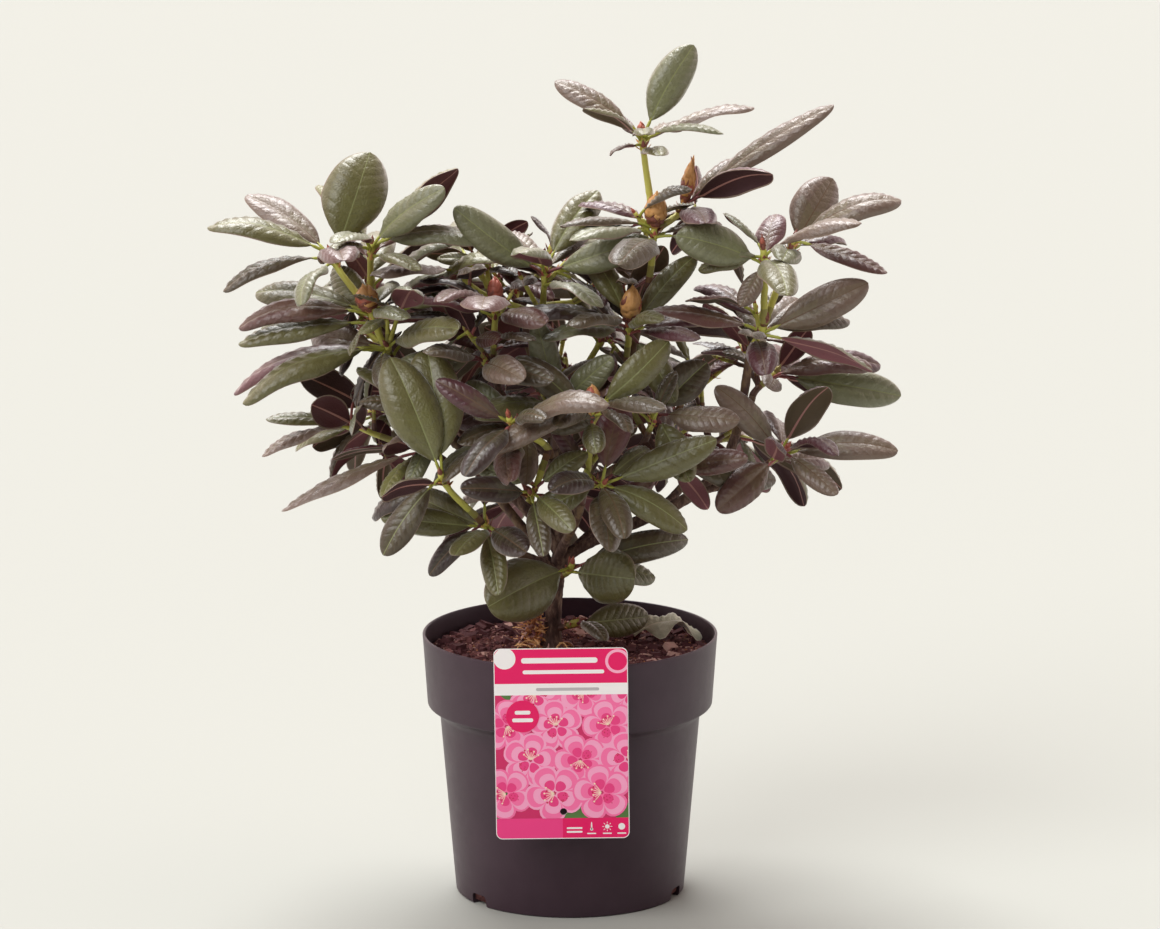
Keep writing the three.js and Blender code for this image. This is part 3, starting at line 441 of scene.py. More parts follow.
# A sheet's points: five rows of three, by share of the leaf's length and of its half width.
SHEET_T = np.repeat([0.22, 0.4, 0.6, 0.8, 1.0], 3)
SHEET_X = np.tile([-1.0, 0.0, 1.0], 5)
SHEET_FACES = np.array([
    corner
    for at in (3, 6, 9, 12) for c in (0, 1)
    for corner in ((at + c - 3, at + c - 2, at + c), (at + c - 2, at + c + 1, at + c))
])
SHEET_EDGES = np.array(
    [(at + c, at + c + 1) for at in (0, 3, 6, 9, 12) for c in (0, 1)]
    + [(at + c - 3, at + c) for at in (3, 6, 9, 12) for c in (0, 1, 2)]
)
SHARED = 0.06  # a point this far past a face's edge, as a share of it, still counts as over it


SHEET_ARRAYS = ("points", "a", "u", "v", "n", "centre", "radius")


class Sheets:
    """The sheets that clearances are measured on, one for each leaf, in arrays that grow."""

    def __init__(self, points):
        self.points = points
        corners = points[:, SHEET_FACES]
        self.a = corners[:, :, 0]
        self.u = corners[:, :, 1] - self.a
        self.v = corners[:, :, 2] - self.a
        self.n = unit(np.cross(self.u, self.v))
        self.centre = points.mean(axis=1)
        self.radius = np.linalg.norm(points - self.centre[:, None], axis=2).max(axis=1)

    def some(self, chosen):
        part = Sheets.__new__(Sheets)
        for key in SHEET_ARRAYS:
            setattr(part, key, getattr(self, key)[chosen])
        return part

    def join(self, other):
        for key in SHEET_ARRAYS:
            setattr(self, key, np.concatenate([getattr(self, key), getattr(other, key)]))

    def over(self, points):
        """Whether each point lies over each face: points (sheets or 1, k, 3) to (sheets, faces, k)."""
        w = points[:, None] - self.a[:, :, None]
        u, v = self.u[:, :, None], self.v[:, :, None]
        return self._inside(w, u, v)

    @staticmethod
    def _inside(w, u, v):
        uu, uv, vv = dot(u, u), dot(u, v), dot(v, v)
        wu, wv = dot(w, u), dot(w, v)
        det = uu * vv - uv * uv
        s = (wu * vv - wv * uv) / det
        r = (wv * uu - wu * uv) / det
        return (s > -SHARED) & (r > -SHARED) & (s + r < 1 + SHARED)

    def near(self, points, gap):
        """Whether any point is within the gap of any face, for each sheet."""
        height = dot(points[:, None] - self.a[:, :, None], self.n[:, :, None])
        return ((np.abs(height) < gap) & self.over(points)).any(axis=(1, 2))

    def crossed(self, starts, ends):
        """Whether any stretch from start to end goes through any face, for each sheet."""
        n = self.n[:, :, None]
        from_height = dot(starts[:, None] - self.a[:, :, None], n)
        to_height = dot(ends[:, None] - self.a[:, :, None], n)
        through = from_height * to_height < 0
        share = from_height / np.where(through, from_height - to_height, 1)
        places = starts[:, None] + share[..., None] * (ends - starts)[:, None]
        w = places - self.a[:, :, None]
        return (through & self._inside(w, self.u[:, :, None], self.v[:, :, None])).any(axis=(1, 2))


def sheets_meet(one, others):
    gaps = np.linalg.norm(others.centre - one.centre, axis=1)
    close = gaps <= one.radius + others.radius + LEAF_GAP
    if not close.any():
        return False
    others = others.some(close)
    mine = np.repeat(one.points, len(others.points), axis=0)
    if others.near(mine, LEAF_GAP).any():
        return True
    if others.crossed(mine[:, SHEET_EDGES[:, 0]], mine[:, SHEET_EDGES[:, 1]]).any():
        return True
    all_points = others.points.reshape(1, -1, 3)
    if one.near(all_points, LEAF_GAP).any():
        return True
    starts = others.points[:, SHEET_EDGES[:, 0]].reshape(1, -1, 3)
    ends = others.points[:, SHEET_EDGES[:, 1]].reshape(1, -1, 3)
    return one.crossed(starts, ends).any()


NEARBY = 20  # stretches of a stem further than this from a leaf aren't tried


def limb_meets(points, radius, sheet):
    close = np.linalg.norm(points - sheet.centre[0], axis=1) < sheet.radius[0] + NEARBY
    if not close.any():
        return False
    if sheet.near(points[None, close], radius + LIMB_GAP).any():
        return True
    return sheet.crossed(points[None, :-1], points[None, 1:]).any()


def above_the_pot(points):
    x, y, z = points[..., 0], points[..., 1], points[..., 2]
    beside_label = np.abs(x - LABEL.centre_x) < LABEL.width / 2 + LABEL_ROOM["aside"]
    over_label = (y < -LABEL_ROOM["front"]) & beside_label
    over_rim = np.hypot(x, y) > POT.rim - RIM_ROOM
    floor = np.where(over_label, LABEL.top_z, np.where(over_rim, POT.height, SOIL_TOP))
    return (z > floor + POT_GAP).all()


STEM_T = np.arange(9) / 8  # where along a stem its clearance is measured
OWN_STEM = 6  # of these places, how many of its own shoot's a leaf keeps clear of


class Crown:
    """The sheets of all leaves that have found room, and the stems that they keep clear of."""

    def __init__(self):
        self.sheets = None
        self.stems = []

    def add_stem(self, line, radius, shoot=None):
        self.stems.append(SimpleNamespace(points=line.at(STEM_T), radius=radius, shoot=shoot))

    def is_clear(self, leaf):
        if not above_the_pot(leaf.sheet.points):
            return False
        if self.sheets is not None and sheets_meet(leaf.sheet, self.sheets):
            return False
        for stem in self.stems:
            points = stem.points[:OWN_STEM] if stem.shoot is leaf.shoot else stem.points
            if limb_meets(points, stem.radius, leaf.sheet):
                return False
        return True

    def add(self, leaf):
        leaf.shoot.leaves.append(leaf)
        if self.sheets is None:
            self.sheets = leaf.sheet
        else:
            self.sheets.join(leaf.sheet)


# ---------------------------------------------------------------- leaves, by the solids' rule
def make_leaf(shoot, root, reach, turned, slim, dice):
    tip = shoot.tip + reach
    arch = dice.within(LEAF.arch)
    roll = math.radians(dice.within((-LEAF.roll, LEAF.roll)))
    faced = shoot.axis * (1 - abs(turned)) + FRONT * turned
    chord = tip - root
    length = np.linalg.norm(chord)
    along = chord / length
    upper = squared(faced, along)
    if np.linalg.norm(upper) < LEAF.edge_on:
        upper = squared(UP, along)
    upper = turned_about(unit(upper), along, roll)
    side = np.cross(along, upper)
    midrib = Line(root, root + LEAF.middle * chord + 2 * arch * length * upper, tip)
    width = length * (dice.within(LEAF.slimness) if slim is None else slim)
    leaf = SimpleNamespace(
        shoot=shoot, midrib=midrib, side=side, length=length, width=width, turned=turned,
    )
    ways = midrib.way(SHEET_T)
    half = np.maximum(width / 2 * half_width((SHEET_T - LEAF.petiole) / (1 - LEAF.petiole)), 1)
    points = midrib.at(SHEET_T) + side * (SHEET_X * half)[:, None]
    rise = (0.5 - 0.5 * SHEET_X**2 - 1 / 3) * LEAF.thick
    leaf.sheet = Sheets((points + np.cross(side, ways) * rise[:, None])[None])
    return leaf


def place_leaf(crown, shoot, reach, turned=0, slim=None, depth=LEAF.whorl, room=None):
    """Tries a leaf where it is wanted, then turned and lifted a little at a time."""
    dice = shoot.dice
    down = dice.within(depth) / shoot.line.length()
    out = unit(squared(reach, shoot.axis))
    root = shoot.line.at(1 - down) + out * LEAF.root_out
    for attempt in range(NUDGE["tries"]):
        tried = reach
        if attempt > 0:
            turn = NUDGE["turn"] * math.ceil(attempt / 2) * (1 if attempt % 2 else -1)
            tried = turned_about(reach, shoot.axis, turn)
            tried = tried + UP * np.linalg.norm(reach) * dice.within((-NUDGE["lift"], NUDGE["lift"]))
        leaf = make_leaf(shoot, root, tried, turned, slim, dice)
        if (room is None or room(leaf.sheet.points[0])) and crown.is_clear(leaf):
            crown.add(leaf)
            return leaf
    return None


def widest_gap(taken, dice):
    if not taken:
        return dice.throw() * 2 * math.pi
    starts = sorted(taken)
    best_size, middle = -1, 0
    for start, end in zip(starts, starts[1:] + [starts[0] + 2 * math.pi]):
        if end - start > best_size + 1e-9:
            best_size, middle = end - start, (start + end) / 2
    return middle + best_size * dice.within((-LEAF.stray, LEAF.stray))


def fill_whorl(crown, shoot, count, lengths, **limits):
    """Adds leaves round a shoot's tip, each in the widest gap between those already there."""
    first, second = across(shoot.axis)
    taken = shoot.taken
    for _ in range(count):
        heading = widest_gap(taken, shoot.dice)
        taken.append(math.atan2(math.sin(heading), math.cos(heading)))
        spread = math.radians(shoot.dice.within(LEAF.spread))
        reach = shoot.axis * math.cos(spread)
        reach = reach + spoke(first, second, heading) * math.sin(spread)
        place_leaf(crown, shoot, reach * shoot.dice.within(lengths), **limits)


def start_whorl(shoot):
    """Notes which headings round a shoot's tip its leading leaves take up."""
    first, second = across(shoot.axis)
    shoot.taken = [math.atan2(np.dot(r[:3], second), np.dot(r[:3], first)) for r in shoot.reach]


def all_shoots(masses):
    return [shoot for mass in masses for shoot in mass.shoots]


def grow_first_leaves(crown, masses):
    """The leading leaves of all shoots, each where it is planned, then the leaves between them."""
    for shoot in all_shoots(masses):
        start_whorl(shoot)
        for x, y, z, *rest in shoot.reach:
            turned = rest[0] if rest else 0
            slim = rest[1] if len(rest) > 1 else None
            place_leaf(crown, shoot, np.array([x, y, z], float), turned, slim)
    for shoot in all_shoots(masses):
        fill_whorl(crown, shoot, shoot.fill, LEAF.length, room=leaves_sky_open)


# ---------------------------------------------------------------- finer growth
# Stretches of open sky seen through the crown from the front, as x, height and radius on the plane y = 0.
SKY = [
    (-36, 586, 48), (45, 562, 14), (8, 434, 12), (116, 398, 10), (100, 449, 9), (-187, 392, 8),
    (-175, 313, 18), (189, 494, 12), (175, 297, 12), (-215, 341, 8), (136, 408, 9), (98, 375, 8),
    (-25, 516, 7), (128, 549, 7),
]
SIGHT_SLOPE = 0.2143  # how much a place 1 mm further back shows higher up


def leaves_sky_open(points):
    seen = points[:, 2] + SIGHT_SLOPE * points[:, 1]
    return all((np.hypot(points[:, 0] - x, seen - z) > r).all() for x, z, r in SKY)


def reach_of(name):
    """Room for a mass's finer growth: the box that its solid takes up."""
    low, high = (np.array(corner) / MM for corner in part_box(name))

    def room(points):
        return (points > low).all() and (points < high).all() and leaves_sky_open(points)

    return room


def grow_finer(crown, masses):
    """Side twigs with small leaves, then a few more leaves in each whorl."""
    for mass in masses:
        room = reach_of(mass.name)
        for k, shoot in enumerate(list(mass.shoots)):
            dice = Dice(mass.seed + k + SEEDS.finer)
            for n in range(FINER.twigs):
                side_twig = grow_side_twig(crown, shoot, dice, room, n)
                if side_twig is not None:
                    mass.shoots.append(side_twig)
                    fill_whorl(crown, side_twig, FINER.leaves, FINER.leaf_length, room=room)
    for mass in masses:
        room = reach_of(mass.name)
        for shoot in (shoot for shoot in mass.shoots if not shoot.fine):
            shoot.dice = Dice(mass.seed + SEEDS.whorl)
            fill_whorl(
                crown, shoot, FINER.whorl_leaves, FINER.whorl_length, depth=FINER.whorl_depth,
                room=room,
            )


CROWN_HEART = np.array([-10, 40, 420])
CROWN_REACH = np.array([270, 175, 230])


def outwardness(place):
    """0 at the crown's heart, about 1 at its outside."""
    return np.linalg.norm((place - CROWN_HEART) / CROWN_REACH)


FIRST_FREE = 3  # of the places along a side twig, the first that has to be free of leaves
LONGEST_FINE = 60  # leaves further than this from its tip aren't tried


def grow_side_twig(crown, shoot, dice, room, n):
    """A finer twig out of a shoot, if one of a few tries keeps clear of leaves and inside the reach."""
    first, second = across(shoot.line.way(0.5))
    for _ in range(FINER.tries):
        along = dice.within(FINER.along)
        heading = math.radians(GOLDEN_TURN * n) + dice.throw() * 2 * math.pi
        way = FINER.ahead * shoot.line.way(along) + FINER.lift * UP
        way = unit(way + FINER.out * spoke(first, second, heading))
        tip = shoot.line.at(along) + way * dice.within(FINER.length)
        grown = grow_shoot(
            shoot, along, tip, way, int(dice.throw() * 1e6), reach=(), fill=0, bud=FINER.bud,
            radii=FINER.radii, fine=True, taken=[],
        )
        outer = grown.line.at(STEM_T)[FIRST_FREE:]
        if not room(outer) or not above_the_pot(outer) or outwardness(tip) > FINER.outermost:
            continue
        near = (crown.sheets.some([i]) for i in near_sheets(crown, tip))
        if any(limb_meets(outer, FINER.radii[0], sheet) for sheet in near):
            continue
        crown.add_stem(grown.line, mix(FINER.radii, 0.5), grown)
        return grown
    return None


def near_sheets(crown, place):
    away = np.linalg.norm(crown.sheets.centre - place, axis=1)
    return np.flatnonzero(away < crown.sheets.radius + LONGEST_FINE)


def grow_plant():
    """The limbs, and the masses with all their shoots and leaves."""
    limbs = grow_limbs()
    masses = grow_masses(limbs)
    crown = Crown()
    for limb in limbs.values():
        crown.add_stem(limb.line, limb.radius_at(0.5))
    for shoot in all_shoots(masses):
        shoot.fine = False
        crown.add_stem(shoot.line, mix(TWIG["radii"], 0.5), shoot)
    grow_first_leaves(crown, masses)
    grow_finer(crown, masses)
    return limbs, masses


# ---------------------------------------------------------------- finishes
def srgb(red, green, blue):
    """A base colour from its red, green and blue as seen, 0 to 255."""
    def linear(c):
        c = c / 255
        return c / 12.92 if c <= 0.04045 else ((c + 0.055) / 1.055) ** 2.4
    return (linear(red), linear(green), linear(blue), 1)


def blend_colours(one, other, share):
    return tuple(a + (b - a) * share for a, b in zip(one, other))


class Finish:
    """A material with its nodes: a Principled shader that patterns are wired to."""

    def __init__(self, name, colour, roughness, **sockets):
        self.material = bpy.data.materials.new(name)
        self.material.use_nodes = True
        self.tree = self.material.node_tree
        self.shader = self.tree.nodes["Principled BSDF"]
        self.shader.inputs["Base Color"].default_value = colour
        self.shader.inputs["Roughness"].default_value = roughness
        for socket, value in sockets.items():
            self.shader.inputs[socket.replace("_", " ")].default_value = value
        self.relief = None

    def node(self, kind, **settings):
        made = self.tree.nodes.new(kind)
        for key, value in settings.items():
            if hasattr(made, key):
                setattr(made, key, value)
            else:
                made.inputs[key.replace("_", " ")].default_value = value
        return made

    def wire(self, source, output, target, socket):
        self.tree.links.new(source.outputs[output], target.inputs[socket])

    def grain(self, scale, detail=3, roughness=0.5, stretch=(1, 1, 1)):
        """A noise pattern on Object coordinates, scale in turns for each metre."""
        pattern = self.node("ShaderNodeTexNoise", Scale=scale, Detail=detail, Roughness=roughness)
        stretched = self.node("ShaderNodeMapping", Scale=stretch)
        self.wire(self.node("ShaderNodeTexCoord"), "Object", stretched, "Vector")
        self.wire(stretched, "Vector", pattern, "Vector")
        return pattern, "Fac"

    def cells(self, scale):
        """A pattern of cells on Object coordinates, as the distance from their walls."""
        pattern = self.node("ShaderNodeTexVoronoi", feature="DISTANCE_TO_EDGE", Scale=scale)
        self.wire(self.node("ShaderNodeTexCoord"), "Object", pattern, "Vector")
        return pattern, "Distance"

    def raised_by(self, pattern, depth, strength=1.0):
        """Adds a pattern to the relief, depth in millimetres."""
        bump = self.node("ShaderNodeBump", Strength=strength, Distance=depth * MM)
        self.wire(*pattern, bump, "Height")
        if self.relief is not None:
            self.wire(self.relief, "Normal", bump, "Normal")
        self.relief = bump
        self.wire(bump, "Normal", self.shader, "Normal")
        return self

    def coloured_by(self, pattern, stops):
        """Base colour along a pattern: stops of place and colour."""
        ramp = self.node("ShaderNodeValToRGB")
        band = ramp.color_ramp
        while len(band.elements) < len(stops):
            band.elements.new(0.5)
        for element, (place, colour) in zip(band.elements, stops):
            element.position = place
            element.color = colour
        self.wire(*pattern, ramp, "Fac")
        self.wire(ramp, "Color", self.shader, "Base Color")
        return self

    def dulled_by(self, pattern, low, high):
        """Roughness from low to high along a pattern."""
        spread = self.node("ShaderNodeMapRange", To_Min=low, To_Max=high)
        self.wire(*pattern, spread, "Value")
        self.wire(spread, "Result", self.shader, "Roughness")
        return self


def tinted(tints, roughness, grain, *relief, **sockets):
    """A finish for each named tint: red, green, blue, and a roughness where it has its own."""
    made = []
    for name, (red, green, blue, *own) in tints.items():
        finish = Finish(name, srgb(red, green, blue), *(own or [roughness]), **sockets)
        made.append(finish.raised_by(finish.grain(*grain), *relief).material)
    return made


# Tints of the blades' upper faces, from fresh to old and wine-red; the darkest, deep olive, is painted
# shade.
BLADE_TINTS = {
    "fresh_olive": srgb(114, 112, 60),
    "olive": srgb(93, 88, 45),
    "grey_olive": srgb(109, 109, 78),
    "grey_brown": srgb(108, 88, 74),
    "dark_olive": srgb(71, 57, 34),
    "deep_olive": srgb(48, 28, 20),
    "bronze": srgb(90, 54, 47),
    "plum": srgb(76, 34, 41),
    "maroon": srgb(52, 19, 23),
    "wine": srgb(92, 44, 48),
}
GREEN_SPRAY = ["grey_olive", "olive", "grey_olive", "olive", "grey_brown", "dark_olive", "bronze"]
BROWN_SPRAY = ["grey_brown", "grey_olive", "grey_brown", "dark_olive", "bronze", "bronze", "plum"]
# A darker spray for the masses low and in the middle of the crown: the leaves' own dark tones, deepened
# there as painted shade.
DARK_AND_SHADED_SPRAY = ["olive", "dark_olive", "olive", "grey_olive", "grey_brown", "deep_olive", "bronze", "plum"]
WINE_SPRAY = ["grey_brown", "bronze", "plum", "plum", "maroon", "wine"]
SPRAYS = {
    "upper_right_leaves": BROWN_SPRAY, "right_leaves": BROWN_SPRAY, "lower_right_leaves": BROWN_SPRAY,
    "centre_left_leaves": BROWN_SPRAY, "inner_right_leaves": DARK_AND_SHADED_SPRAY,
    "front_leaves": DARK_AND_SHADED_SPRAY, "middle_leaves": DARK_AND_SHADED_SPRAY, "foot_leaves": DARK_AND_SHADED_SPRAY,
    "soil_leaves": DARK_AND_SHADED_SPRAY, "front_high_leaves": DARK_AND_SHADED_SPRAY, "front_left_leaves": DARK_AND_SHADED_SPRAY,
}
OWN_SPRAYS = {("top_leaves", 2): WINE_SPRAY, ("upper_right_leaves", 2): GREEN_SPRAY}
LIT_FACING_TINTS = 3  # of its spray's first, lighter tints, painted light for a leaf that turns its face to the light
# Darker tints that paint the shade deep inside the crown onto the leaves there.
CROWN_SHADE_TINTS = ["dark_olive", "deep_olive", "deep_olive", "plum", "plum", "maroon", "maroon", "wine"]
CROWN_SHADE = dict(until=0.3, fade=2.2)  # up to where in the crown leaves take the painted-shade tints, and how soon no more
ODD_TINTS = {"fresh_olive": 0.05, "wine": 0.04}  # shares of leaves with a tint of their own
FACING = 0.45  # a leaf turned to the front by more than this shows its whole face
FRESH = srgb(150, 158, 84)
FRESHER = {"blade": 0, "middle": 0.05, "heart": 0.12}  # how much of the fresh tint each part takes on
UNDERSIDES = {
    "wine_under": srgb(92, 50, 56), "pink_under": srgb(132, 84, 90), "olive_under": srgb(94, 80, 62),
    "plum_under": srgb(72, 44, 48),
}
# The leaf margin's pale pink is partly the margin's own colour and partly a painted rim of backlight.
RIBS = {
    "leaf_midrib": (134, 138, 92), "leaf_midrib_dark": (108, 86, 66), "leaf_margin": (132, 112, 98, 0.5),
    "leaf_under_rib": (178, 128, 122, 0.5), "leaf_green_stalk": (164, 166, 70),
    "leaf_pink_stalk": (166, 96, 92), "leaf_wine_stalk": (112, 58, 60),
}
RIB_GRAIN = ((700,), 0.15, 0.5)
GREEN_RIBBED = ("fresh_olive", "olive", "grey_olive")
GREEN_STALKED = (
    "top_leaves", "upper_left_leaves", "centre_top_leaves", "upper_right_leaves", "front_high_leaves",
    "front_leaves", "front_left_leaves",
)
GREEN_STALKS = dict(here=0.8, elsewhere=0.25)  # the share of leaves with a green stalk in those masses
CURLED_SHARE = 0.25  # of the leaves, how many roll up more than the rest


def wrinkled(finish):
    """The fine wrinkles between a blade's veins, over softer dents."""
    return finish.raised_by(finish.cells(330), 0.7, 0.8).raised_by(finish.grain(170), 1.0, 0.7).material


def leaf_finishes():
    """All finishes of a leaf, in the order that the blade's faces count them."""
    made = []
    for name, tint in BLADE_TINTS.items():
        for part, share in FRESHER.items():
            made.append(wrinkled(Finish(
                f"leaf_{name}_{part}", blend_colours(tint, FRESH, share), 0.46, Specular_IOR_Level=0.6,
                Coat_Weight=0.5, Coat_Roughness=0.32, Sheen_Weight=0.45, Sheen_Roughness=0.35,
            )))
    for name, tint in UNDERSIDES.items():
        finish = Finish(f"leaf_{name}", tint, 0.6, Specular_IOR_Level=0.35)
        made.append(finish.raised_by(finish.cells(430), 0.4, 0.8).material)
    return made + tinted(RIBS, 0.45, *RIB_GRAIN)


UNDER_AT = len(BLADE_TINTS) * len(FRESHER)
MIDRIB_AT = UNDER_AT + len(UNDERSIDES)
MARGIN_BACKLIT_AT, UNDER_RIB_AT, PETIOLE_AT = MIDRIB_AT + 2, MIDRIB_AT + 3, MIDRIB_AT + 4


# ---------------------------------------------------------------- joined meshes
class Pile:
    """The points and faces of many small shapes, joined into one mesh."""

    def __init__(self):
        self.points, self.faces, self.finishes, self.creases = [], [], [], []
        self.count = 0

    def add(self, points, faces, finishes, creases=None):
        points = np.reshape(points, (-1, 3))
        self.points.append(points)
        if creases is not None:
            self.creases.append(creases + self.count)
        self.faces += [tuple(i + self.count for i in face) for face in faces]
        self.finishes += finishes if isinstance(finishes, list) else [finishes] * len(faces)
        self.count += len(points)

    def piece(self, name, materials, nodes=()):
        mesh = bpy.data.meshes.new(name)
        mesh.from_pydata((np.concatenate(self.points) * MM).tolist(), [], self.faces)
        mesh.polygons.foreach_set("material_index", self.finishes)
        mesh.polygons.foreach_set("use_smooth", [True] * len(self.faces))
        for material in materials:
            mesh.materials.append(material)
        if self.creases:
            self.crease(mesh)
        made = bpy.data.objects.new(name, mesh)
        bpy.context.scene.collection.objects.link(made)
        return hand_in(made, nodes)

    def crease(self, mesh):
        """Breaks the smooth shading along the edges that were added as creases."""
        ends = np.zeros(len(mesh.edges) * 2, int)
        mesh.edges.foreach_get("vertices", ends)
        ends = np.sort(ends.reshape(-1, 2))
        wanted = np.sort(np.concatenate(self.creases))
        sharp = np.isin(ends @ (self.count, 1), wanted @ (self.count, 1))
        mesh.edges.foreach_set("use_edge_sharp", sharp)


def hand_in(made, nodes=()):
    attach(made, "root")
    if nodes:
        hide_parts(*nodes)
    return made


def skin(rings, sides):
    """Faces round a row of rings, from the first to the last, with both ends closed."""
    faces = [
        (k * sides + a, k * sides + (a + 1) % sides, (k + 1) * sides + (a + 1) % sides, (k + 1) * sides + a)
        for k in range(rings - 1) for a in range(sides)
    ]
    return faces + [tuple(reversed(range(sides))), tuple(range((rings - 1) * sides, rings * sides))]


def carried_frames(points):
    """Two directions across each point of a line, carried along it without twist."""
    ways = unit(np.gradient(points, axis=0))
    first = across(ways[0])[0]
    firsts = []
    for way in ways:
        first = unit(squared(first, way))
        firsts.append(first)
    firsts = np.array(firsts)
    return firsts, np.cross(ways, firsts)


def tube(points, radii, sides):
    """Rings round a line: radii is one for each ring, or one for each ring and side."""
    firsts, seconds = carried_frames(points)
    angles = np.arange(sides) * 2 * math.pi / sides
    radii = np.broadcast_to(np.reshape(radii, (len(points), -1)), (len(points), sides))[..., None]
    rim = firsts[:, None] * np.cos(angles)[:, None] + seconds[:, None] * np.sin(angles)[:, None]
    return points[:, None] + radii * rim


def rough(points, size, shift):
    """Noise between about -1 and 1 at each point, with bumps of a given size in millimetres."""
    flat = points.reshape(-1, 3) / size + shift
    return np.array([noise.noise(Vector(p)) for p in flat]).reshape(points.shape[:-1])


# ---------------------------------------------------------------- leaves as meshes
VEINS = 9
ROWS = np.concatenate([[0, 0.03], np.linspace(0.08, 0.93, 2 * VEINS - 1), [0.975, 1]])
COLUMNS = np.array([-1, -0.95, -0.66, -0.32, 0, 0, 0.32, 0.66, 0.95, 1])
HEART_END = 0.42  # how far along the blade its fresher middle goes
SWEEP = 0.19  # how far a side vein runs forward on its way to the margin, as a share of the blade
UNROLLED = 1.02  # the blade's width before it rolls, as a share of the flat solid's
ROLL_STEPS = 40  # from midrib to margin, to sum up how a rolled blade bends
PUCKER = 2.6  # how deep the blade sinks along a vein, in millimetres, for a leaf that is puckered by 1
GROOVE = 0.5  # how deep the midrib lies in the upper face
UNDER_COLUMNS = np.array([-0.93, -0.55, 0, 0, 0.55, 0.93])
UNDER_WIDE = len(UNDER_COLUMNS)
BLADE_THICK, TIP_THICK = 0.75, 0.5
PETIOLE_RINGS = np.array([0, 0.05, 0.1, 0.15, 0.2])
PETIOLE_RADII = np.array([1.7, 1.25, 1.2, 1.3, 0.5])
PETIOLE_SINK = np.array([0, 0, 0, 0.3, 0.6])  # how far the stalk's end lies under the blade's face
PETIOLE_SIDES = 6


def blade_faces():
    """Faces of one leaf, and for each the part of the leaf that it belongs to."""
    across_top, rows = len(COLUMNS), len(ROWS)
    under = rows * across_top
    faces, parts = [], []
    for i in range(rows - 1):
        for j in range(across_top - 1):
            at = i * across_top + j
            faces.append((at, at + 1, at + across_top + 1, at + across_top))
            inward = min(j, across_top - 2 - j)
            inner = ("middle", "heart") if ROWS[i] < HEART_END else ("blade", "middle")
            parts.append(("margin", "blade", *inner, "midrib")[inward])
    for k in range(rows // 2):
        here, there = under + UNDER_WIDE * k, under + UNDER_WIDE * (k + 1)
        left = [(2 * k + n) * across_top for n in range(3)]
        right = [at + across_top - 1 for at in left]
        faces.append((*left, there, here))
        faces += [(here + j, there + j, there + j + 1, here + j + 1) for j in range(UNDER_WIDE - 1)]
        faces.append((here + UNDER_WIDE - 1, there + UNDER_WIDE - 1, right[2], right[1], right[0]))
        parts += ["margin", "under", "under", "under_rib", "under", "under", "margin"]
    backwards = range(UNDER_WIDE - 1, -1, -1)
    first = list(range(across_top)) + [under + j for j in backwards]
    last_top, last_under = (rows - 1) * across_top, under + UNDER_WIDE * (rows // 2)
    last = [last_top + j for j in range(across_top)] + [last_under + j for j in backwards]
    faces += [tuple(reversed(first)), tuple(last)]
    parts += ["under", "under"]
    start = under + UNDER_WIDE * (rows // 2 + 1)
    stalk = skin(len(PETIOLE_RINGS), PETIOLE_SIDES)
    faces += [tuple(start + i for i in reversed(face)) for face in stalk]
    parts += ["petiole"] * len(stalk)
    return faces, parts


BLADE_FACES, BLADE_PARTS = blade_faces()


def blade_creases():
    """Edges of the upper face that stay crisp: both margins, both sides of the midrib and each vein."""
    rows, last = len(ROWS), len(COLUMNS) - 1
    grid = np.arange(rows * len(COLUMNS)).reshape(rows, -1)
    half = len(COLUMNS) // 2
    lengthways = [np.stack([grid[:-1, j], grid[1:, j]], 1) for j in (0, half - 1, half, last)]
    crosswise = [
        np.stack([grid[i, j:j + half - 1], grid[i, j + 1:j + half]], 1)
        for i in range(2, rows - 2, 2) for j in (0, half)
    ]
    return np.concatenate(lengthways + crosswise)


BLADE_CREASES = blade_creases()


def outline(b):
    """Half the blade's width, from 0 at its foot to 0 at its round tip, as a share of its widest."""
    foot = np.sin(math.pi * np.minimum(b, 0.5)) ** 0.74
    tip = np.sqrt(1 - np.clip(2 * b - 1, 0, 1) ** 2.25)
    return np.where(b < 0.5, foot, tip)


def rolled_section(looks):
    """The blade from midrib to margin: how far out and down each share of it lies, and how steep."""
    wide = np.linspace(0, 1, ROLL_STEPS + 1)
    slopes = looks.rolled * wide**2 - looks.channel * (1 - wide)
    out = np.concatenate([[0], np.cumsum(np.cos(slopes))[:-1] / ROLL_STEPS])
    down = np.concatenate([[0], np.cumsum(np.sin(slopes))[:-1] / ROLL_STEPS])
    return lambda away: [np.interp(away, wide, values) for values in (out, down, slopes)]


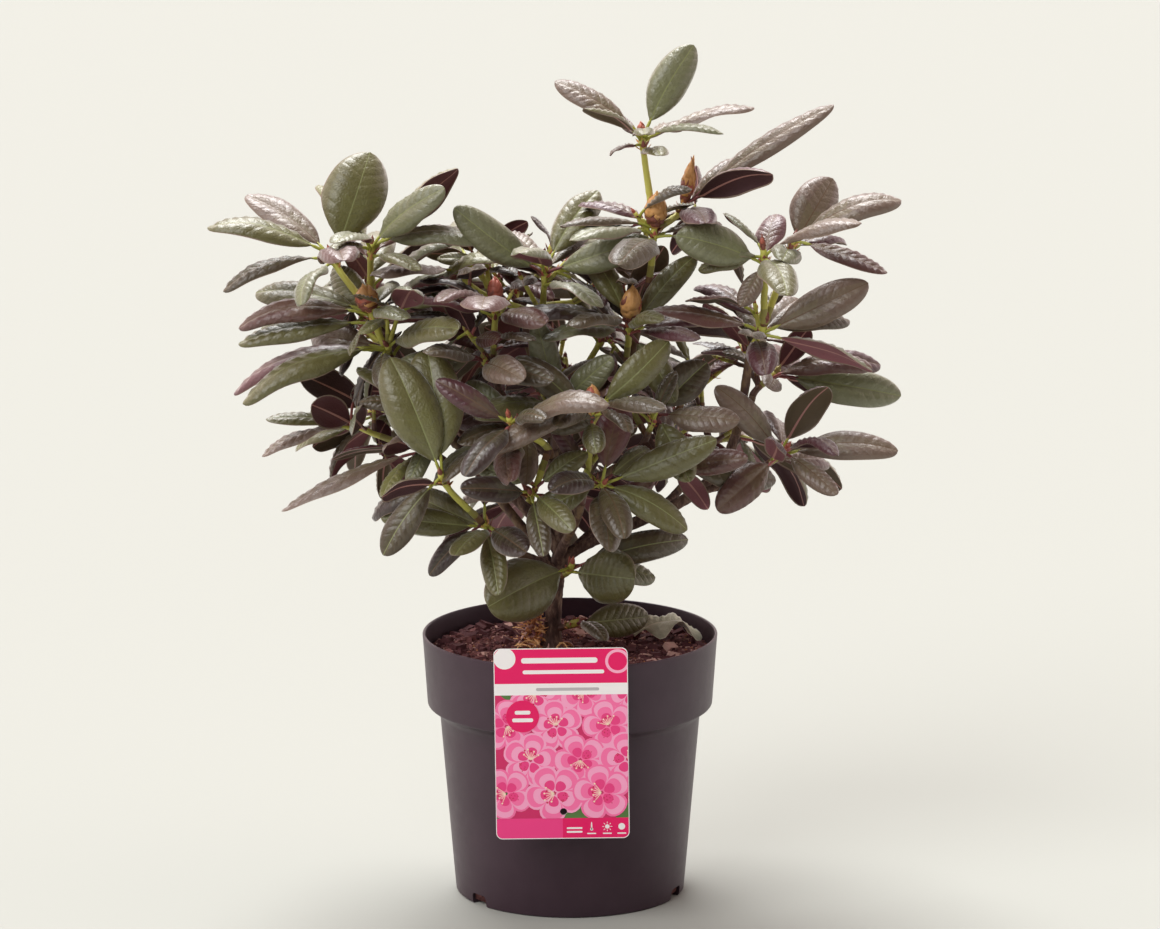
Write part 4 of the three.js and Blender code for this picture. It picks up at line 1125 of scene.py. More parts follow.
def blade_surface(leaf, looks, q, x):
    """The blade's face at shares q along its middle and x across: its middle line, the directions
    across and up, how far a place lies out and up in these, and which way its face looks."""
    b = q + SWEEP * np.sin(math.pi * q) * np.abs(x) ** 1.05
    t = LEAF.petiole + (1 - LEAF.petiole) * b
    half = np.maximum(leaf.width / 2 * UNROLLED * outline(b), 0.7)
    upper = np.cross(leaf.side, leaf.midrib.way(t))
    twist = looks.twist * b[..., None]
    side = leaf.side * np.cos(twist) + upper * np.sin(twist)
    upper = upper * np.cos(twist) - leaf.side * np.sin(twist)

    away, hand = np.abs(x), np.sign(x)
    out, down, slope = rolled_section(looks)(away)
    rise = -down * half
    rise = rise + looks.wave * half * np.sin(looks.phase + 9 * b + hand) * away**2
    rise = rise - looks.droop * leaf.length * np.maximum(b - 0.5, 0) ** 2
    rows = np.arange(len(q)) * (2 if len(q) < len(ROWS) else 1)
    vein = np.cos(math.pi * rows) * ((rows > 1) & (rows < len(ROWS) - 2))
    depth = 1 + 0.45 * np.sin(2.1 * rows[:, None] + looks.phase + 1.7 * hand)
    rise = rise - looks.pucker * vein[:, None] * depth * away * (1 - x**2) ** 1.7 * PUCKER

    face = upper * np.cos(slope[..., None]) + side * np.sin(slope[..., None]) * hand[..., None]
    bend = looks.sickle * leaf.length * np.maximum(b - 0.1, 0) ** 2
    centre = leaf.midrib.at(t) + leaf.side * bend[..., None]
    return centre, side, upper, hand * out * half, rise, face


def upper_points(leaf, looks):
    """Rows of points swept along the veins, with a narrow groove for the midrib."""
    q, x = np.meshgrid(ROWS, COLUMNS, indexing="ij")
    centre, side, upper, offset, rise, _ = blade_surface(leaf, looks, q, x)
    rib = 0.6 - 0.35 * q
    offset = np.where(x == 0, np.where(np.arange(len(COLUMNS)) < len(COLUMNS) // 2, -rib, rib), offset)
    rise = np.where(x == 0, rise - GROOVE * np.sin(math.pi * q.clip(0.02, 1)) ** 0.5, rise)
    return centre + side * offset[..., None] + upper * rise[..., None]


def under_points(leaf, looks):
    """Every other row again on the underside, with a thick midrib that runs out to the tip."""
    q, x = np.meshgrid(ROWS[::2], UNDER_COLUMNS, indexing="ij")
    centre, side, upper, offset, rise, face = blade_surface(leaf, looks, q, x)
    rib = (1.0 - 0.6 * q) * np.sign(np.arange(UNDER_WIDE) - UNDER_WIDE / 2 + 0.5)
    offset = np.where(x == 0, rib, offset)
    thick = np.where(x == 0, BLADE_THICK + 0.5 + 1.0 * (1 - q), BLADE_THICK)
    thick = np.where((q < 0.01) | (q > 0.99), TIP_THICK, thick)
    return centre + side * offset[..., None] + upper * rise[..., None] - face * thick[..., None]


def stalk_points(leaf):
    """Rings round the leaf's stalk, the last two under the blade's foot."""
    upper = np.cross(leaf.side, leaf.midrib.way(PETIOLE_RINGS))[:, None]
    angle = np.arange(PETIOLE_SIDES)[:, None] * 2 * math.pi / PETIOLE_SIDES
    rim = leaf.side * np.cos(angle) + upper * np.sin(angle)
    sink = upper * PETIOLE_SINK[:, None, None]
    return leaf.midrib.at(PETIOLE_RINGS)[:, None] + rim * PETIOLE_RADII[:, None, None] - sink


def add_leaf(pile, leaf, looks, finish_of):
    """Adds a whole leaf, each part with its own finish."""
    shapes = (upper_points(leaf, looks), under_points(leaf, looks), stalk_points(leaf))
    points = np.concatenate([shape.reshape(-1, 3) for shape in shapes])
    pile.add(points, BLADE_FACES, [finish_of[part] for part in BLADE_PARTS], BLADE_CREASES)


def leaf_looks(leaf, mass_name, shoot_number, dice):
    """How one leaf is coloured and curled, dealt by its spray and its place in the crown, with painted shade
    towards the crown's heart and painted light on leaves that face the front.
    """
    outward = outwardness(leaf.midrib.places[2])
    spray = OWN_SPRAYS.get((mass_name, shoot_number), SPRAYS.get(mass_name, GREEN_SPRAY))
    tint = dice.pick(spray)
    # Painted shade: towards the crown's heart a leaf's upper face takes a darker tint.
    if dice.throw() > (outward - CROWN_SHADE["until"]) * CROWN_SHADE["fade"]:
        tint = dice.pick(CROWN_SHADE_TINTS)
    for odd_tint, share in ODD_TINTS.items():
        if dice.throw() < share:
            tint = odd_tint
    facing = leaf.turned > FACING
    # Painted light: a leaf turned to the front takes one of its spray's lighter first tints, in place of any
    # painted shade.
    if facing:
        tint = spray[int(dice.throw() * LIT_FACING_TINTS)]
    green = dice.throw() < GREEN_STALKS["here" if mass_name in GREEN_STALKED else "elsewhere"]
    curled = dice.throw() if dice.throw() < CURLED_SHARE else 0
    return SimpleNamespace(
        tint=list(BLADE_TINTS).index(tint),
        midrib=0 if tint in GREEN_RIBBED or (tint == "dark_olive" and facing) else 1,
        under=int(dice.throw() * len(UNDERSIDES)),
        stalk=0 if green else dice.pick([1, 2, 2]),
        channel=dice.within((0.05, 0.4)),
        rolled=dice.within((1.0, 2.0)) + curled * 0.7,
        droop=dice.within((0, 0.4)) + curled * 0.35,
        pucker=dice.within((0.55, 1.0)),
        wave=dice.within((0.02, 0.12)),
        phase=dice.throw() * 6.3,
        twist=math.radians(dice.within((-18, 18))),
        sickle=dice.within((-0.1, 0.1)),
    )


def leaf_pieces(masses):
    """One piece of leaves for each mass, in place of its solid."""
    materials = leaf_finishes()
    for mass in masses:
        pile = Pile()
        dice = Dice(mass.seed + SEEDS.looks)
        for number, leaf in ((n, leaf) for n, shoot in enumerate(mass.shoots) for leaf in shoot.leaves):
            looks = leaf_looks(leaf, mass.name, number, dice)
            finish_of = {part: looks.tint * len(FRESHER) + k for k, part in enumerate(FRESHER)} | {
                "under": UNDER_AT + looks.under, "midrib": MIDRIB_AT + looks.midrib, "margin": MARGIN_BACKLIT_AT,
                "under_rib": UNDER_RIB_AT, "petiole": PETIOLE_AT + looks.stalk,
            }
            add_leaf(pile, leaf, looks, finish_of)
        pile.piece(mass.name + "_blades", materials, [mass.name])


FALLEN = dict(foot=(50, 24, 197), tip=(98, 40, 204), lift=14, width=38)
WITHERED = dict(channel=0.5, rolled=1.3, droop=0.1, pucker=0.9, wave=0.5, phase=2.2, twist=0.9, sickle=0.3)


def fallen_leaf():
    """A pale withered leaf that lies twisted on the soil, right of the trunk."""
    foot, tip = np.array(FALLEN["foot"], float), np.array(FALLEN["tip"], float)
    chord = tip - foot
    leaf = SimpleNamespace(
        midrib=Line(foot, foot + 0.5 * chord + FALLEN["lift"] * UP, tip),
        side=unit(np.cross(chord, UP + 0.8 * FRONT)), length=np.linalg.norm(chord), width=FALLEN["width"],
    )
    pale = Finish("withered_blade", srgb(214, 214, 186), 0.55, Sheen_Weight=0.6, Sheen_Roughness=0.4)
    edge = tinted({"withered_margin": (240, 234, 210)}, 0.6, *RIB_GRAIN)
    pile = Pile()
    finish_of = {part: int(part in ("margin", "midrib", "under_rib")) for part in BLADE_PARTS}
    add_leaf(pile, leaf, SimpleNamespace(**WITHERED), finish_of)
    pile.piece("fallen_leaf", [wrinkled(pale), *edge])


# ---------------------------------------------------------------- twigs, buds and bark
def bark_finishes():
    old = Finish("old_bark", srgb(88, 68, 62), 0.85)
    old.coloured_by(old.grain(240, 4, 0.65, (1, 1, 0.35)), [
        (0.3, srgb(52, 34, 32)), (0.5, srgb(92, 68, 60)), (0.68, srgb(140, 116, 100)),
    ])
    old.raised_by(old.grain(420, 4, 0.6, (1, 1, 0.3)), 0.9)
    young = Finish("young_bark", srgb(104, 76, 62), 0.7)
    young.coloured_by(young.grain(200, 3, 0.6, (1, 1, 0.4)), [
        (0.35, srgb(74, 48, 42)), (0.6, srgb(116, 92, 66)),
    ])
    young.raised_by(young.grain(500, 3, 0.5, (1, 1, 0.4)), 0.5)
    return [old.material, young.material]


BARK = dict(
    ridges=((0.07, 3.2, (1, 1, 0.25), 0), (0.05, 9, (1, 1, 1), 50)), knot=(0.07, 1.6, 16),
    collar=(1.3, 5), old_until=0.35,
)
RING_STEP = 2.2  # from one ring of a bough or twig to the next


def bark_piece(limbs):
    """The trunk and all boughs, each with ridges, knots and a collar where it leaves its parent."""
    pile = Pile()
    high, wide, every = BARK["knot"]
    for number, limb in enumerate(limbs.values()):
        length = limb.line.length()
        rings = max(int(length / RING_STEP), 12)
        t = np.linspace(0, 1, rings)
        points = limb.line.at(t)
        trunk = limb.name == "trunk"
        sides = 20 if trunk else 14
        radii = limb.radius_at(t)
        rim = tube(points, radii, sides)
        relief = sum(
            depth * rough(rim * np.array(stretch), size, number + shift)
            for depth, size, stretch, shift in BARK["ridges"]
        )
        dice = Dice(number + SEEDS.bark)
        knots = sum(
            high * np.exp(-(((t - dice.throw()) * length / wide) ** 2)) for _ in range(int(length / every))
        )
        collar_high, collar_long = (0, 1) if trunk else BARK["collar"]
        collar = collar_high * np.exp(-np.maximum(t * length - collar_long, 0) / collar_long)
        wider = radii[:, None] * (1 + relief + np.reshape(knots, (-1, 1))) + collar[:, None]
        faces = skin(rings, sides)
        aged = 0 if limb.name in ("trunk", "right_low_bough") else 1
        finishes = [0 if (face[0] // sides) / rings < BARK["old_until"] else aged for face in faces]
        pile.add(tube(points, wider, sides), faces, finishes)
    pile.piece("bark", bark_finishes(), list(limbs))


STEM_TINTS = {
    "stem_brown": (96, 66, 56), "stem_russet": (122, 88, 58), "stem_olive": (150, 144, 74),
    "stem_green": (192, 188, 88),
}
STEM = dict(
    relief=(0.07, 3.5), scar=(0.45, 1.4, 1.3), scar_every=7, swell=(0.7, 7, 4.5), young_green=(0.05, 0.25),
    old_green=(0.3, 0.55),
)
STEM_STEPS = (-0.16, -0.06, 0.1)  # where the next stem tint starts, from where the stem turns green


def twigs_piece(masses):
    """All twigs, from brown at the foot to green below the whorl, with scars of fallen leaves."""
    pile = Pile()
    depth, size = STEM["relief"]
    scar_high, scar_long, scar_wide = STEM["scar"]
    swell_high, swell_at, swell_long = STEM["swell"]
    shoots = [(shoot, mass.name in GREEN_STALKED) for mass in masses for shoot in mass.shoots]
    for number, (shoot, young) in enumerate(shoots):
        length = shoot.line.length()
        rings = max(int(length / RING_STEP), 8)
        t = np.linspace(0, 1, rings)
        points = shoot.line.at(t)
        sides = 8 if shoot.fine else 10
        rim = tube(points, mix(shoot.radii, t), sides)
        dice = Dice(number + SEEDS.twigs)
        radii = mix(shoot.radii, t)[:, None] * (1 + depth * rough(rim, size, number))
        for _ in range(int(length / STEM["scar_every"])):
            place, way = dice.throw() * length, dice.throw() * sides
            near = np.exp(-(((t * length - place) / scar_long) ** 2))[:, None]
            turn = (np.arange(sides) - way + sides / 2) % sides - sides / 2
            radii = radii + scar_high * near * np.exp(-((turn / scar_wide) ** 2))
        if not shoot.fine:
            from_whorl = ((1 - t) * length - swell_at) / swell_long
            radii = radii + swell_high * np.exp(-(from_whorl**2))[:, None]
        faces = skin(rings, sides)
        green = dice.within(STEM["young_green" if young else "old_green"])
        ages = [(face[0] // sides) / rings for face in faces]
        tints = [sum(age >= green + step for step in STEM_STEPS) for age in ages]
        pile.add(tube(points, radii, sides), faces, tints)
    pile.piece("twigs", tinted(STEM_TINTS, 0.5, (600, 3, 0.6), 0.35))


SCALE_ROWS = np.array([0, 0.3, 0.65, 1.0])
SCALE_HALF = np.array([0.55, 1.0, 0.75, 0.06])


def scale_faces():
    """Faces of a bent plate of four rows of three points, with the same rows again under it."""
    faces = []
    for k in range(3):
        for j in (0, 1):
            at = k * 3 + j
            faces.append((at, at + 1, at + 4, at + 3))
            faces.append((at + 12, at + 15, at + 16, at + 13))
        faces.append((k * 3, k * 3 + 3, k * 3 + 15, k * 3 + 12))
        faces.append((k * 3 + 2, k * 3 + 14, k * 3 + 17, k * 3 + 5))
    return faces + [(12, 13, 14, 2, 1, 0), (9, 10, 11, 23, 22, 21)]


SCALE_FACES = scale_faces()


def add_scale(pile, root, way, out, length, half, hug, finish, thick=0.3):
    """Adds one pointed scale, that bulges out by its first hug and bends in by its second."""
    out = unit(squared(out, way))
    side = np.cross(way, out)
    top, under = [], []
    for row, share in zip(SCALE_ROWS, SCALE_HALF):
        middle = root + way * length * row + out * hug[0] * math.sin(math.pi * row) - out * hug[1] * row**2
        for x in (-1, 0, 1):
            edge = middle + side * x * half * share - out * half * 0.35 * share * x * x
            top.append(edge)
            under.append(edge - out * thick)
    pile.add(top + under, SCALE_FACES, finish)


BUD_TINTS = {
    "bud_green": (166, 152, 84, 0.45), "bud_gold": (214, 160, 100), "bud_red": (178, 98, 80),
    "bud_brown": (138, 82, 70, 0.5),
}
PLAIN_BUD = (2.3, 7)  # radius and length of a bud that the plan doesn't give
LARGE_BUD = dict(above=4, wider=1.6, longer=1.15, scales=22, brown=0.25)
BUD = SimpleNamespace(
    rings=8, sides=8, sink=2, core=0.68, thinnest=0.3, scales=9, scales_until=0.62, seat=0.86,
    scale_length=(0.3, 0.42), scale_half=(0.75, 0.6), lean=(0.15, -0.5), hug=(0.1, 0.16), thick=0.35,
)


def bud_half(t):
    """A bud's half width at a share of its length, as a share of its widest."""
    return np.sin(math.pi * (0.1 + 0.88 * t) ** 0.85)


def add_bud(pile, shoot, dice):
    """A spindle wrapped in pointed scales, set round it by the golden angle."""
    radius, length = shoot.bud
    if radius > LARGE_BUD["above"]:
        radius, length = LARGE_BUD["wider"] * radius, LARGE_BUD["longer"] * length
    large = radius > LARGE_BUD["above"]
    length += BUD.sink
    first, second = across(shoot.axis)
    base = shoot.tip - BUD.sink * shoot.axis
    t = np.linspace(0, 1, BUD.rings)
    swell = np.maximum(radius * bud_half(t), BUD.thinnest) * BUD.core
    tone = dice.pick([1, 1, 2]) if large else dice.pick([2, 3, 0])
    core = tube(base + np.outer(t * length, shoot.axis), swell, BUD.sides)
    pile.add(core, skin(BUD.rings, BUD.sides), tone)
    count = LARGE_BUD["scales"] if large else BUD.scales
    for k in range(count):
        share = k / count
        low = share * BUD.scales_until
        out = spoke(first, second, math.radians(GOLDEN_TURN) * k + dice.throw() * 0.3)
        here = radius * bud_half(low)
        root = base + shoot.axis * low * length + out * here * BUD.seat
        way = unit(shoot.axis + out * mix(BUD.lean, low * 1.4))
        long, half = length * mix(BUD.scale_length, share), here * mix(BUD.scale_half, share)
        finish = dice.pick([tone, tone, tone, tone, 2, 3])
        if large and share < LARGE_BUD["brown"]:
            finish = 3
        add_scale(pile, root, way, out, long, half, [hug * here for hug in BUD.hug], finish, BUD.thick)


BRACTS = dict(
    count=9, count_fine=5, size_fine=0.6, down=(6, 15), lowest=0.6, seat=0.9, spread=(0.2, 1.0),
    length=(4, 8.5), half=(1.1, 1.8), hug=(0.5, -0.6),
)


def add_bracts(pile, shoot, dice):
    """Dry pointed bracts that stay round the foot of the whorl."""
    first, second = across(shoot.axis)
    length = shoot.line.length()
    size = BRACTS["size_fine"] if shoot.fine else 1
    for k in range(BRACTS["count_fine" if shoot.fine else "count"]):
        down = dice.within(BRACTS["down"]) * size
        if down > length * BRACTS["lowest"]:
            continue
        out = spoke(first, second, math.radians(GOLDEN_TURN) * k)
        root = shoot.line.at(1 - down / length) + out * mix(shoot.radii, 0.9) * BRACTS["seat"]
        way = unit(shoot.axis + out * dice.within(BRACTS["spread"]))
        add_scale(
            pile, root, way, out, dice.within(BRACTS["length"]) * size, dice.within(BRACTS["half"]) * size,
            BRACTS["hug"], dice.pick([2, 3, 3, 1]),
        )


def buds_piece(masses):
    pile = Pile()
    for number, shoot in enumerate(all_shoots(masses)):
        dice = Dice(number + SEEDS.buds)
        if shoot.bud is None:
            shoot.bud = PLAIN_BUD
        add_bud(pile, shoot, dice)
        add_bracts(pile, shoot, dice)
    pile.piece("buds", tinted(BUD_TINTS, 0.4, (900, 2, 0.5, (1, 1, 0.3)), 0.2))


# ---------------------------------------------------------------- modelling by hand
def edit_mode(on):
    bpy.ops.object.mode_set(mode="EDIT" if on else "OBJECT")


def select_all():
    bpy.ops.mesh.select_all(action="SELECT")


def start_mesh(add, name, **settings):
    """A primitive as a new object, alone selected, in edit mode with all of it selected."""
    bpy.ops.object.select_all(action="DESELECT")
    add(**settings)
    made = bpy.context.object
    made.name = made.data.name = name
    bpy.ops.object.transform_apply(location=True, rotation=True, scale=True)
    edit_mode(True)
    select_all()
    return made


def end_mesh(made, smooth=None):
    """Ends edit mode with the faces looking out, smooth up to an angle in degrees if one is given."""
    select_all()
    bpy.ops.mesh.normals_make_consistent(inside=False)
    edit_mode(False)
    if smooth is not None:
        bpy.ops.object.shade_smooth_by_angle(angle=math.radians(smooth))
    return made


def only(made):
    """Makes an object the one that is selected and active."""
    bpy.ops.object.select_all(action="DESELECT")
    made.select_set(True)
    bpy.context.view_layer.objects.active = made


def modify(made, kind, **settings):
    """Adds a modifier and applies it."""
    only(made)
    modifier = made.modifiers.new(kind.lower(), kind)
    for key, value in settings.items():
        setattr(modifier, key, value)
    bpy.ops.object.modifier_apply(modifier=modifier.name)


def cut_away(made, cutter):
    modify(made, "BOOLEAN", operation="DIFFERENCE", object=cutter, solver="EXACT")
    bpy.data.objects.remove(cutter)


def pick_faces(made, wanted):
    """Selects, in edit mode, just the faces whose middle answers a question."""
    bpy.ops.mesh.select_all(action="DESELECT")
    edit_mode(False)
    for face in made.data.polygons:
        face.select = wanted(face.center / MM)
    edit_mode(True)
    bpy.ops.mesh.select_mode(type="FACE")


def grow_rings(rings, sides, name):
    """A round body drawn up from a disc: each ring of radius and height is one extrusion, resized."""
    radius, height = rings[0]
    made = start_mesh(
        bpy.ops.mesh.primitive_circle_add, name, vertices=sides, radius=radius * MM, fill_type="NGON",
        location=(0, 0, height * MM),
    )
    for (r0, z0), (r1, z1) in zip(rings, rings[1:]):
        bpy.ops.mesh.extrude_region()
        bpy.ops.transform.translate(value=(0, 0, (z1 - z0) * MM))
        bpy.ops.transform.resize(value=(r1 / r0, r1 / r0, 1), center_override=(0, 0, z1 * MM))
    return made


def cut_along(place, normal, **how):
    """Cuts every face of the mesh in edit mode along a plane."""
    select_all()
    bpy.ops.mesh.bisect(plane_co=[c * MM for c in place], plane_no=normal, **how)


def reshape(made, moved):
    """Moves each point of a mesh to where a function of its place, in millimetres, puts it."""
    for vertex in made.data.vertices:
        vertex.co = Vector(moved(*(vertex.co / MM))) * MM


def arc(centre, radius, start, end, steps):
    """Places on a round corner of an outline, as radius and height, angles in degrees."""
    angles = np.radians(np.linspace(start, end, steps))
    return [(centre[0] + radius * math.cos(a), centre[1] + radius * math.sin(a)) for a in angles]


# ---------------------------------------------------------------- pot
POT_SIDES = 128
LIP = 1.1  # radius of the rim's rolled lip
COLLAR_ROUND = 2.6  # radius of the collar's lower edge
NOTCH_ROUND = 3
SMOOTH_BELOW = 35  # degrees between faces up to which the plastic is shaded smooth


def pot_finish():
    finish = Finish("pot_plastic", srgb(52, 34, 43), 0.4, Specular_Tint=(0.92, 0.86, 1, 1))
    finish.coloured_by(finish.grain(30, 4, 0.6), [(0.3, srgb(51, 33, 41)), (0.7, srgb(58, 40, 48))])
    finish.dulled_by(finish.grain(90, 5, 0.65), 0.36, 0.52)
    finish.raised_by(finish.grain(1400, 2, 0.5), 0.06, 0.6)
    finish.raised_by(finish.grain(60, 5, 0.7, (1, 1, 0.1)), 0.12, 0.5)
    return finish.material


def pot_piece():
    """Thin-walled pot: floor, body, rounded shoulder, deep collar, rolled lip, and notches at its foot."""
    height, wall = POT.height, POT.wall
    shoulder, collar = height - POT.shoulder_depth, height - POT.collar_depth
    body, edge, rim = POT.body_top, POT.collar_bottom, POT.rim
    outer = [
        (POT.foot - 9, 0), (POT.foot - 1.2, 0), (POT.foot, 1.2),
        *[(mix((POT.foot, body), t), mix((0, shoulder), t)) for t in (0.08, 0.3, 0.6, 0.9)],
        (body, shoulder), (body + 1.2, shoulder + 2.4), (edge - COLLAR_ROUND - 2, collar - 4.4),
        *arc((edge - COLLAR_ROUND, collar - 0.5), COLLAR_ROUND, -60, 0, 5),
        *[(mix((edge, rim), t), mix((collar, height), t)) for t in (0.1, 0.5, 0.86)],
        *arc((rim - LIP, height - LIP), LIP, 0, 180, 9),
    ]
    inner = [
        (rim - wall - 0.5, height - 6), (edge - wall, collar), (body - wall, shoulder),
        (POT.foot - wall, POT.floor + 1), (POT.foot - wall - 1, POT.floor),
    ]
    made = end_mesh(grow_rings(outer + inner, POT_SIDES, "pot_shell"))
    for heading in DRAIN["headings"]:
        turn = math.radians(heading)
        cutter = start_mesh(bpy.ops.mesh.primitive_cube_add, "notch", size=1)
        size = (2 * DRAIN["depth"], DRAIN["width"], 2 * DRAIN["height"])
        bpy.ops.transform.resize(value=[c * MM for c in size], center_override=(0, 0, 0))
        bpy.ops.mesh.bevel(offset=NOTCH_ROUND * MM, segments=4, affect="EDGES")
        end_mesh(cutter)
        cutter.rotation_euler = (0, 0, turn)
        cutter.location = (POT.foot * MM * math.cos(turn), POT.foot * MM * math.sin(turn), 0)
        cut_away(made, cutter)
    only(made)
    bpy.ops.object.shade_smooth_by_angle(angle=math.radians(SMOOTH_BELOW))
    made.data.materials.clear()
    made.data.materials.append(pot_finish())
    hand_in(made, ["pot"])


# ---------------------------------------------------------------- soil
SOIL_SIDES = 120
SOIL_RING = 2.6  # from one ring of the soil's surface to the next
CLODS = ((2.2, 17, 3.1), (1.5, 6, 8.7), (0.9, 2.6, 1.3))  # height, size and pattern: clods, lumps, grit
MOUND = (3, 16)  # height and reach of the soil heaped round the trunk
EDGE = (98, 12, 1.6)  # from where, over how much and how far the soil sinks towards the pot


def soil_finish():
    finish = Finish("damp_peat", srgb(52, 38, 36), 0.92, Specular_IOR_Level=0.3)
    finish.coloured_by(finish.grain(330, 5, 0.7), [
        (0.3, srgb(66, 32, 34)), (0.52, srgb(114, 66, 64)), (0.7, srgb(164, 116, 108)),
    ])
    finish.raised_by(finish.grain(500, 6, 0.7), 2.2)
    return finish.material


def soil_height(x, y):
    """The soil's surface: clods and hollows, a little higher round the trunk."""
    from_trunk = math.hypot(x - TRUNK["foot"][0], y - TRUNK["foot"][1])
    clods = sum(high * noise.noise(Vector((x / wide, y / wide, shift))) for high, wide, shift in CLODS)
    start, wide, deep = EDGE
    edge = max(0.0, (math.hypot(x, y) - start) / wide)
    return SOIL_TOP - 0.6 + clods + MOUND[0] * math.exp(-from_trunk / MOUND[1]) - deep * edge


def soil_pieces():
    """The soil, shaped like the pot's inside with an uneven top, and what lies on it."""
    gap = POT.wall + CLEAR
    collar, shoulder = POT.height - POT.collar_depth, POT.height - POT.shoulder_depth
    share = (SOIL_TOP - collar) / POT.collar_depth
    top = mix((POT.collar_bottom, POT.rim), share) - gap
    rings = [
        (POT.foot - gap, POT.floor + CLEAR), (POT.body_top - gap, shoulder),
        (POT.collar_bottom - gap, collar), (top, SOIL_TOP - 3), (top - 0.4, SOIL_TOP - 1),
    ]
    rings += [(r, SOIL_TOP) for r in np.arange(top - SOIL_RING, 1, -SOIL_RING)]
    made = end_mesh(grow_rings(rings, SOIL_SIDES, "soil_fill"), 180)
    for vertex in made.data.vertices:
        x, y, z = vertex.co / MM
        if z > SOIL_TOP - 2:
            vertex.co.z = soil_height(x, y) * MM
    made.data.materials.append(soil_finish())
    hand_in(made, ["soil"])
    litter_piece(top)


CHIP_CORNERS = np.array([(x, y, z) for z in (-1, 1) for y in (-1, 1) for x in (-1, 1)], float)
CHIP_FACES = [(0, 2, 3, 1), (4, 5, 7, 6), (0, 1, 5, 4), (2, 6, 7, 3), (0, 4, 6, 2), (1, 3, 7, 5)]
CHIPS = dict(count=1700, margin=7, length=(3.5, 10), long=0.25, short=0.45, tints=[0, 0, 0, 0, 0, 1, 1, 2])
CRUMBS = dict(count=3600, margin=3, length=(0.8, 2.4), long=None, tints=[0, 0, 1, 1, 2, 2, 3])
CHIP = dict(wide=(0.4, 0.85), thick=(0.25, 0.55), broken=0.35)
TUMBLES = ((UP, 6.3), (np.array([1.0, 0, 0]), 0.9), (np.array([0, 1.0, 0]), 0.9))  # axis and widest turn


def add_chip(pile, kind, top, dice):
    """A broken piece of bark or peat, tumbled on the soil."""
    away, heading = math.sqrt(dice.throw()) * (top - kind["margin"]), dice.throw() * 2 * math.pi
    x, y = away * math.cos(heading), away * math.sin(heading)
    length = dice.within(kind["length"])
    if kind["long"] is not None:
        length *= 1 if dice.throw() < kind["long"] else kind["short"]
    size = np.array([length, length * dice.within(CHIP["wide"]), length * dice.within(CHIP["thick"])]) / 2
    broken = np.array([[dice.throw() - 0.5 for _ in range(3)] for _ in range(8)])
    corners = CHIP_CORNERS * size * (1 + CHIP["broken"] * broken)
    for axis, lean in TUMBLES:
        angle = (dice.throw() - 0.5) * lean
        corners = np.array([turned_about(c, axis, angle) for c in corners])
    place = np.array([x, y, soil_height(x, y) + size[2] * 0.5])
    pile.add(corners + place, CHIP_FACES, dice.pick(kind["tints"]))


def level_way(angle):
    return np.array([math.cos(angle), math.sin(angle), 0])


ROOTLETS = SimpleNamespace(
    count=40, points=9, sides=4, away=(3, 20), beside=(-6, -4, 0), out=(4, 13), curl=(2, 6), rise=(5, 16),
    flat_from=22, radii=(0.75, 0.28), thicker=(0.7, 1.5),
)


def add_rootlet(pile, foot, dice):
    """A thin dry strand that rises from the soil, curls and sinks again."""
    way, away = dice.throw() * 2 * math.pi, dice.within(ROOTLETS.away)
    start = foot + level_way(way) * away + np.array(ROOTLETS.beside)
    t = np.linspace(0, 1, ROOTLETS.points)[:, None]
    out = level_way(way + 0.8) * dice.within(ROOTLETS.out)
    curl = level_way(way + 2.4) * dice.within(ROOTLETS.curl)
    rise = dice.within(ROOTLETS.rise) * max(0.3, 1 - away / ROOTLETS.flat_from)
    strand = start + out * t + curl * np.sin(t * 5) + UP * (rise * np.sin(t * 2.6) + 0.5 * np.cos(t * 9))
    radii = mix(ROOTLETS.radii, t) * dice.within(ROOTLETS.thicker)
    faces = skin(ROOTLETS.points, ROOTLETS.sides)
    pile.add(tube(strand, radii, ROOTLETS.sides), faces, dice.pick([3, 3, 4, 4, 2]))


TUFT = SimpleNamespace(
    place=(-15, -2, 0), height=30, width=12, bend=3.0, stalk=1.1, points=7, sides=5, scales=170,
    out=(0.3, 1.4), up=(-0.7, 1.1), length=(4.5, 9.5), half=(1.0, 2.3), bulge=1.6, curl=3,
)


def add_tuft(pile, foot, dice):
    """A dry spent flower head beside the trunk: a stalk crowded with curled papery scales."""
    foot = foot + np.array(TUFT.place)
    points, sides = TUFT.points, TUFT.sides
    t = np.linspace(0, 1, points)[:, None]
    stalk = foot + UP * TUFT.height * t + level_way(0) * TUFT.bend * np.sin(3 * t)
    pile.add(tube(stalk, np.full(points, TUFT.stalk), sides), skin(points, sides), 3)
    for k in range(TUFT.scales):
        level = dice.throw()
        out = level_way(math.radians(GOLDEN_TURN) * k)
        swell = TUFT.width * math.sin(math.pi * (0.25 + 0.65 * level)) * dice.throw() ** 0.5
        root = foot + UP * (2 + level * (TUFT.height - 5)) + out * swell * 0.75
        way = unit(out * dice.within(TUFT.out) + UP * dice.within(TUFT.up))
        add_scale(
            pile, root, way, out + UP * 0.3, dice.within(TUFT.length), dice.within(TUFT.half),
            (TUFT.bulge, -TUFT.curl * dice.throw()), dice.pick([3, 4, 4, 4, 2, 1]),
        )


LITTER_TINTS = {
    "chip_dark": (88, 50, 53), "chip_brown": (128, 82, 80), "chip_pale": (196, 154, 143),
    "rootlet_brown": (170, 112, 74), "rootlet_gold": (248, 196, 138),
}


